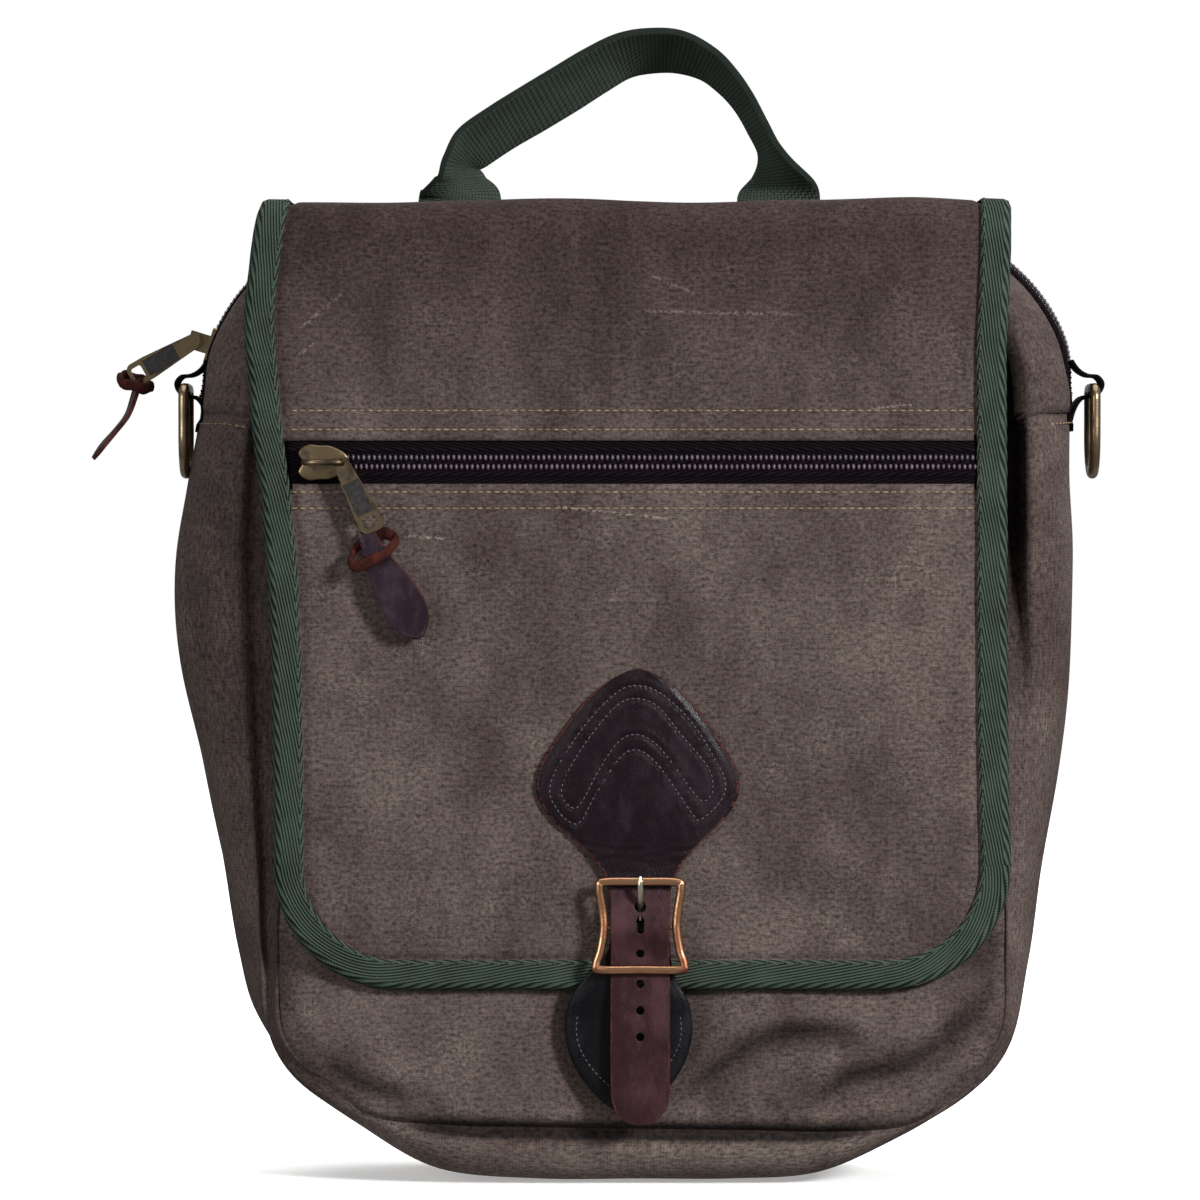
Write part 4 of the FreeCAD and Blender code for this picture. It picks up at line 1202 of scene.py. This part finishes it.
# (x, z, turn of the width towards the depth, in degrees), from the left end to the right
handleRoute = [(-69, 319, 0), (-69, 336, 0), (-69, 352, 0), (-69, 366, 0), (-68.4, 372, 22),
               (-68.6, 378, 56), (-68.8, 384, 70), (-63.6, 390.4, 62), (-53, 397.8, 61),
               (-41, 405, 60), (-28, 412.8, 60), (-17, 419.6, 61), (-6, 425.4, 63),
               (4.5, 427.4, 64), (15.4, 427, 66), (26.3, 422.6, 72), (34, 416, 76), (40.4, 408, 79), (46, 398, 80),
               (50.6, 388.6, 78), (53, 380, 58), (54, 372, 16), (54, 366, 0), (54, 352, 0),
               (54, 336, 0), (54, 319, 0)]
handleLook = {"wide": 32, "thick": 2.4, "y": 56.5}


def handlePoint(s, t):
    place = s * (len(handleRoute) - 1)
    x, z, turn = smoothThrough(handleRoute, place)
    xa, za, _ = smoothThrough(handleRoute, max(place - 0.05, 0))
    xb, zb, _ = smoothThrough(handleRoute, min(place + 0.05, len(handleRoute) - 1))
    run = Vector((xb - xa, 0, zb - za)).normalized()
    across = Vector((run.z, 0, -run.x))
    angle = math.radians(turn)
    wide = across * math.cos(angle) + Vector((0, math.sin(angle), 0))
    spread = (t - 0.5) * handleLook["wide"]
    bow = 1.2 * (1 - (2 * t - 1) ** 2) * math.sin(angle)
    bow -= 0.35 * math.exp(-((abs(2 * t - 1) - 0.8) / 0.035) ** 2)       # a line inside each edge
    return (Vector((x, handleLook["y"], z)) + wide * spread + run.cross(wide) * bow) * mm


handle = finishPiece("handleStrap", gridMesh(300, 14, handlePoint, (380, 32)), greenWeb, None,
                     ["handle", "handle_ends"])
thicken(handle, handleLook["thick"], 0.0, 0, 0.5)
applyAll(handle)
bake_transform(handle)

for side, x in ((-1, -69), (1, 54)):
    box = [(x - 12, 322), (x + 12, 322), (x + 12, 344), (x - 12, 344), (x - 12, 322), (x + 12, 344)]
    line = [spot(a, 58.0, b) for a, b in box]
    stitchRow("handleStitch" + ("Left" if side < 0 else "Right"), line, "bag",
              greenThread, Vector((0, 1, 0)), 2.6, (2.0, 0.7))


# ---- ring tabs ----

tabLoop = [(162.5, 283), (164, 288.5), (166.4, 292.4), (170, 293.6), (173.6, 295.4), (174.8, 299),
           (172.6, 302), (168.6, 302.6), (165.4, 304.6), (163, 308)]


for side, name, node in ((-1, "ringTabLeft", "tab_left"), (1, "ringTabRight", "tab_right")):
    def loopPoint(s, t):
        x, z = smoothThrough(tabLoop, s * (len(tabLoop) - 1))
        return spot(side * x, between(-11, 11, t), z)
    bm = gridMesh(60, 10, loopPoint, (45, 22))
    if side < 0:
        bmesh.ops.reverse_faces(bm, faces=bm.faces)
    piece = finishPiece(name, bm, blackWeb, "bag", [node])
    thicken(piece, 1.3, 1.0, 0, 0.3)
sweep("pocketSliderBridge", sliderLook["bridge"], [1.05], darkBrass, "pocket_slider",
      [], steps=30)
print("handle and tabs made")


# ---- laces and leaf tags ----

def laceLoop(name, centre, reach, tilt, sag, section, body, node):
    # a flat suede lace tied round in a ring: reach is half its width and half its depth
    def place(s, t):
        ringTurn, skin = s * 2 * math.pi, t * 2 * math.pi
        tall, thick = section
        wobble = 1 + 0.08 * math.sin(3 * ringTurn + 1)
        x = reach[0] * math.cos(ringTurn) * wobble
        y = -reach[1] * math.sin(ringTurn)
        z = -sag * math.sin(ringTurn) + tilt * math.cos(ringTurn) + 0.4 * math.sin(5 * ringTurn)
        out = Vector((math.cos(ringTurn), -math.sin(ringTurn), 0))
        edge = out * (thick / 2 * math.cos(skin)) + Vector((0, 0, tall / 2 * math.sin(skin)))
        return (Vector(centre) + Vector((x, y, z)) + edge) * mm
    bm = gridMesh(56, 12, place)
    bmesh.ops.remove_doubles(bm, verts=bm.verts, dist=0.01 * mm)
    bmesh.ops.recalc_face_normals(bm, faces=bm.faces)
    return finishPiece(name, bm, suede, body, [node])


def leafTag(name, route, halves, across, material, body, node):
    # a leather leaf along its route of (x, y, z), half its width at each, across as a turn
    def place(s, t):
        where = t * (len(route) - 1)
        here = Vector(smoothThrough(route, where))
        half, turn = smoothThrough(list(zip(halves, across)), where)
        ahead = Vector(smoothThrough(route, min(where + 0.1, len(route) - 1)))
        behind = Vector(smoothThrough(route, max(where - 0.1, 0)))
        run = (ahead - behind).normalized()
        side = run.cross(Vector((0, 1, 0))).normalized()
        side.rotate(Matrix.Rotation(math.radians(turn), 3, run))
        a = 2 * s - 1
        bow = side.cross(run) * (0.5 * (1 - a * a) * min(half, 3) / 3)
        return (here + side * a * max(half, 0.3) + bow) * mm
    piece = finishPiece(name, gridMesh(14, 60, place), material, body, [node], (rawEdge,))
    return thicken(piece, 1.5, 0.0, 1, 0.25)


laceLoop("pocketLaceLoop", (-98.6, -65.2, 237.4), (8.4, 4.4), 3.8, 4.2, (4.6, 2.2), "pocket_tag",
         "pocket_lace")
leafTag("pocketLeaf", [(-101.5, -65.6, 244.5), (-98.4, -65.8, 238), (-94.6, -66, 230.5),
                       (-90.6, -65.8, 223), (-86.4, -65.2, 215.4), (-82.8, -64.6, 208.8),
                       (-80.6, -64.2, 205)],
        [3.0, 3.8, 5.6, 7.4, 8.0, 5.8, 0.8], [0, 4, 6, 6, 4, 2, 0], tagHide, "pocket_tag",
        "pocket_tag")
laceLoop("mainLaceLoop", (-190.2, -3, 299.4), (6.0, 5.6), -1.6, 1.6, (4.2, 2.2), "main_tag",
         "main_lace")
leafTag("mainLeaf", [(-188.6, -3, 301), (-190.4, -3.4, 294), (-193, -3.6, 287), (-197.6, -3.4, 281),
                     (-202.4, -3, 275.4), (-206, -2.8, 270.6)],
        [2.2, 3.6, 5.4, 5.8, 4.4, 0.8], [62, 74, 82, 84, 80, 76], tagHide, "main_tag", "main_tag")
print("laces and tags made")


# ---- metal and small pieces from the frame ----

cadFinish = {
    "left_ring": brass, "right_ring": brass,
    "pocket_puller": darkBrass, "main_slider": darkBrass, "main_puller": darkBrass,
    "snap_socket": brass, "snap_stud": brass, "main_zip_stops": brass,
    "pocket_puller_inset": inlay, "main_puller_inset": inlay,
}
for node, material in cadFinish.items():
    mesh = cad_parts[node].data
    mesh.materials.clear()
    mesh.materials.append(material)

# ---- camera, floor and light ----

def makeStage():
    bm = bmesh.new()
    bmesh.ops.create_grid(bm, x_segments=1, y_segments=1, size=6)
    mesh = bpy.data.meshes.new("floor")
    bm.to_mesh(mesh)
    bm.free()
    floor = bpy.data.objects.new("floor", mesh)
    bpy.context.scene.collection.objects.link(floor)
    pale = Finish("paleFloor", {"Roughness": 0.9, "Base Color": (0.93, 0.93, 0.92, 1),
                                "Emission Color": (1, 1, 1, 1), "Emission Strength": 0.32})
    mesh.materials.append(pale.material)
    floor.visible_diffuse = False        # so that it does not light the bag from below
    floor.visible_glossy = False
    world = bpy.data.worlds.new("studio")
    world.use_nodes = True
    tree = world.node_tree
    soft = tree.nodes["Background"]          # what lights the bag
    soft.inputs["Color"].default_value = (1, 1, 1, 1)
    soft.inputs["Strength"].default_value = 0.3
    clean = tree.nodes.new("ShaderNodeBackground")       # the plain white seen behind it
    clean.inputs["Color"].default_value = (1, 1, 1, 1)
    choice = tree.nodes.new("ShaderNodeMixShader")
    rays = tree.nodes.new("ShaderNodeLightPath")
    tree.links.new(rays.outputs["Is Camera Ray"], choice.inputs[0])
    tree.links.new(soft.outputs[0], choice.inputs[1])
    tree.links.new(clean.outputs[0], choice.inputs[2])
    tree.links.new(choice.outputs[0], tree.nodes["World Output"].inputs["Surface"])
    bpy.context.scene.world = world
    lights = (("key", (1.4, -1.6, 1.0), 0.4, 74), ("fill", (-1.7, -1.8, 0.6), 1.4, 26),
              ("back", (0.3, 1.8, 1.6), 1.5, 26))
    for name, place, size, power in lights:
        data = bpy.data.lights.new(name, "AREA")
        data.size = size
        data.energy = power
        lamp = bpy.data.objects.new(name, data)
        lamp.location = place
        aim = Vector((0, 0, 0.2)) - lamp.location
        lamp.rotation_euler = aim.to_track_quat("-Z", "Y").to_euler()
        bpy.context.scene.collection.objects.link(lamp)
    data = bpy.data.lights.new("overhead", "SUN")
    data.energy = 1.7
    data.angle = math.radians(70)
    lamp = bpy.data.objects.new("overhead", data)
    lamp.rotation_euler = (math.radians(-6), math.radians(5), 0)
    bpy.context.scene.collection.objects.link(lamp)


def makeCamera():
    look = {"away": 2.4, "seen": 0.444, "x": -14.8, "z": 218.5, "above": 1.5}
    data = bpy.data.cameras.new("camera")
    data.sensor_width = 36
    data.lens = 36 * look["away"] / look["seen"]
    camera = bpy.data.objects.new("camera", data)
    aim = spot(look["x"], -50, look["z"])
    rise = math.radians(look["above"])
    camera.location = aim + Vector((0, -math.cos(rise), math.sin(rise))) * look["away"]
    camera.rotation_euler = (aim - camera.location).to_track_quat("-Z", "Y").to_euler()
    bpy.context.scene.collection.objects.link(camera)
    bpy.context.scene.camera = camera


makeStage()
makeCamera()
bpy.context.scene.view_settings.view_transform = "Standard"
print("stage made")
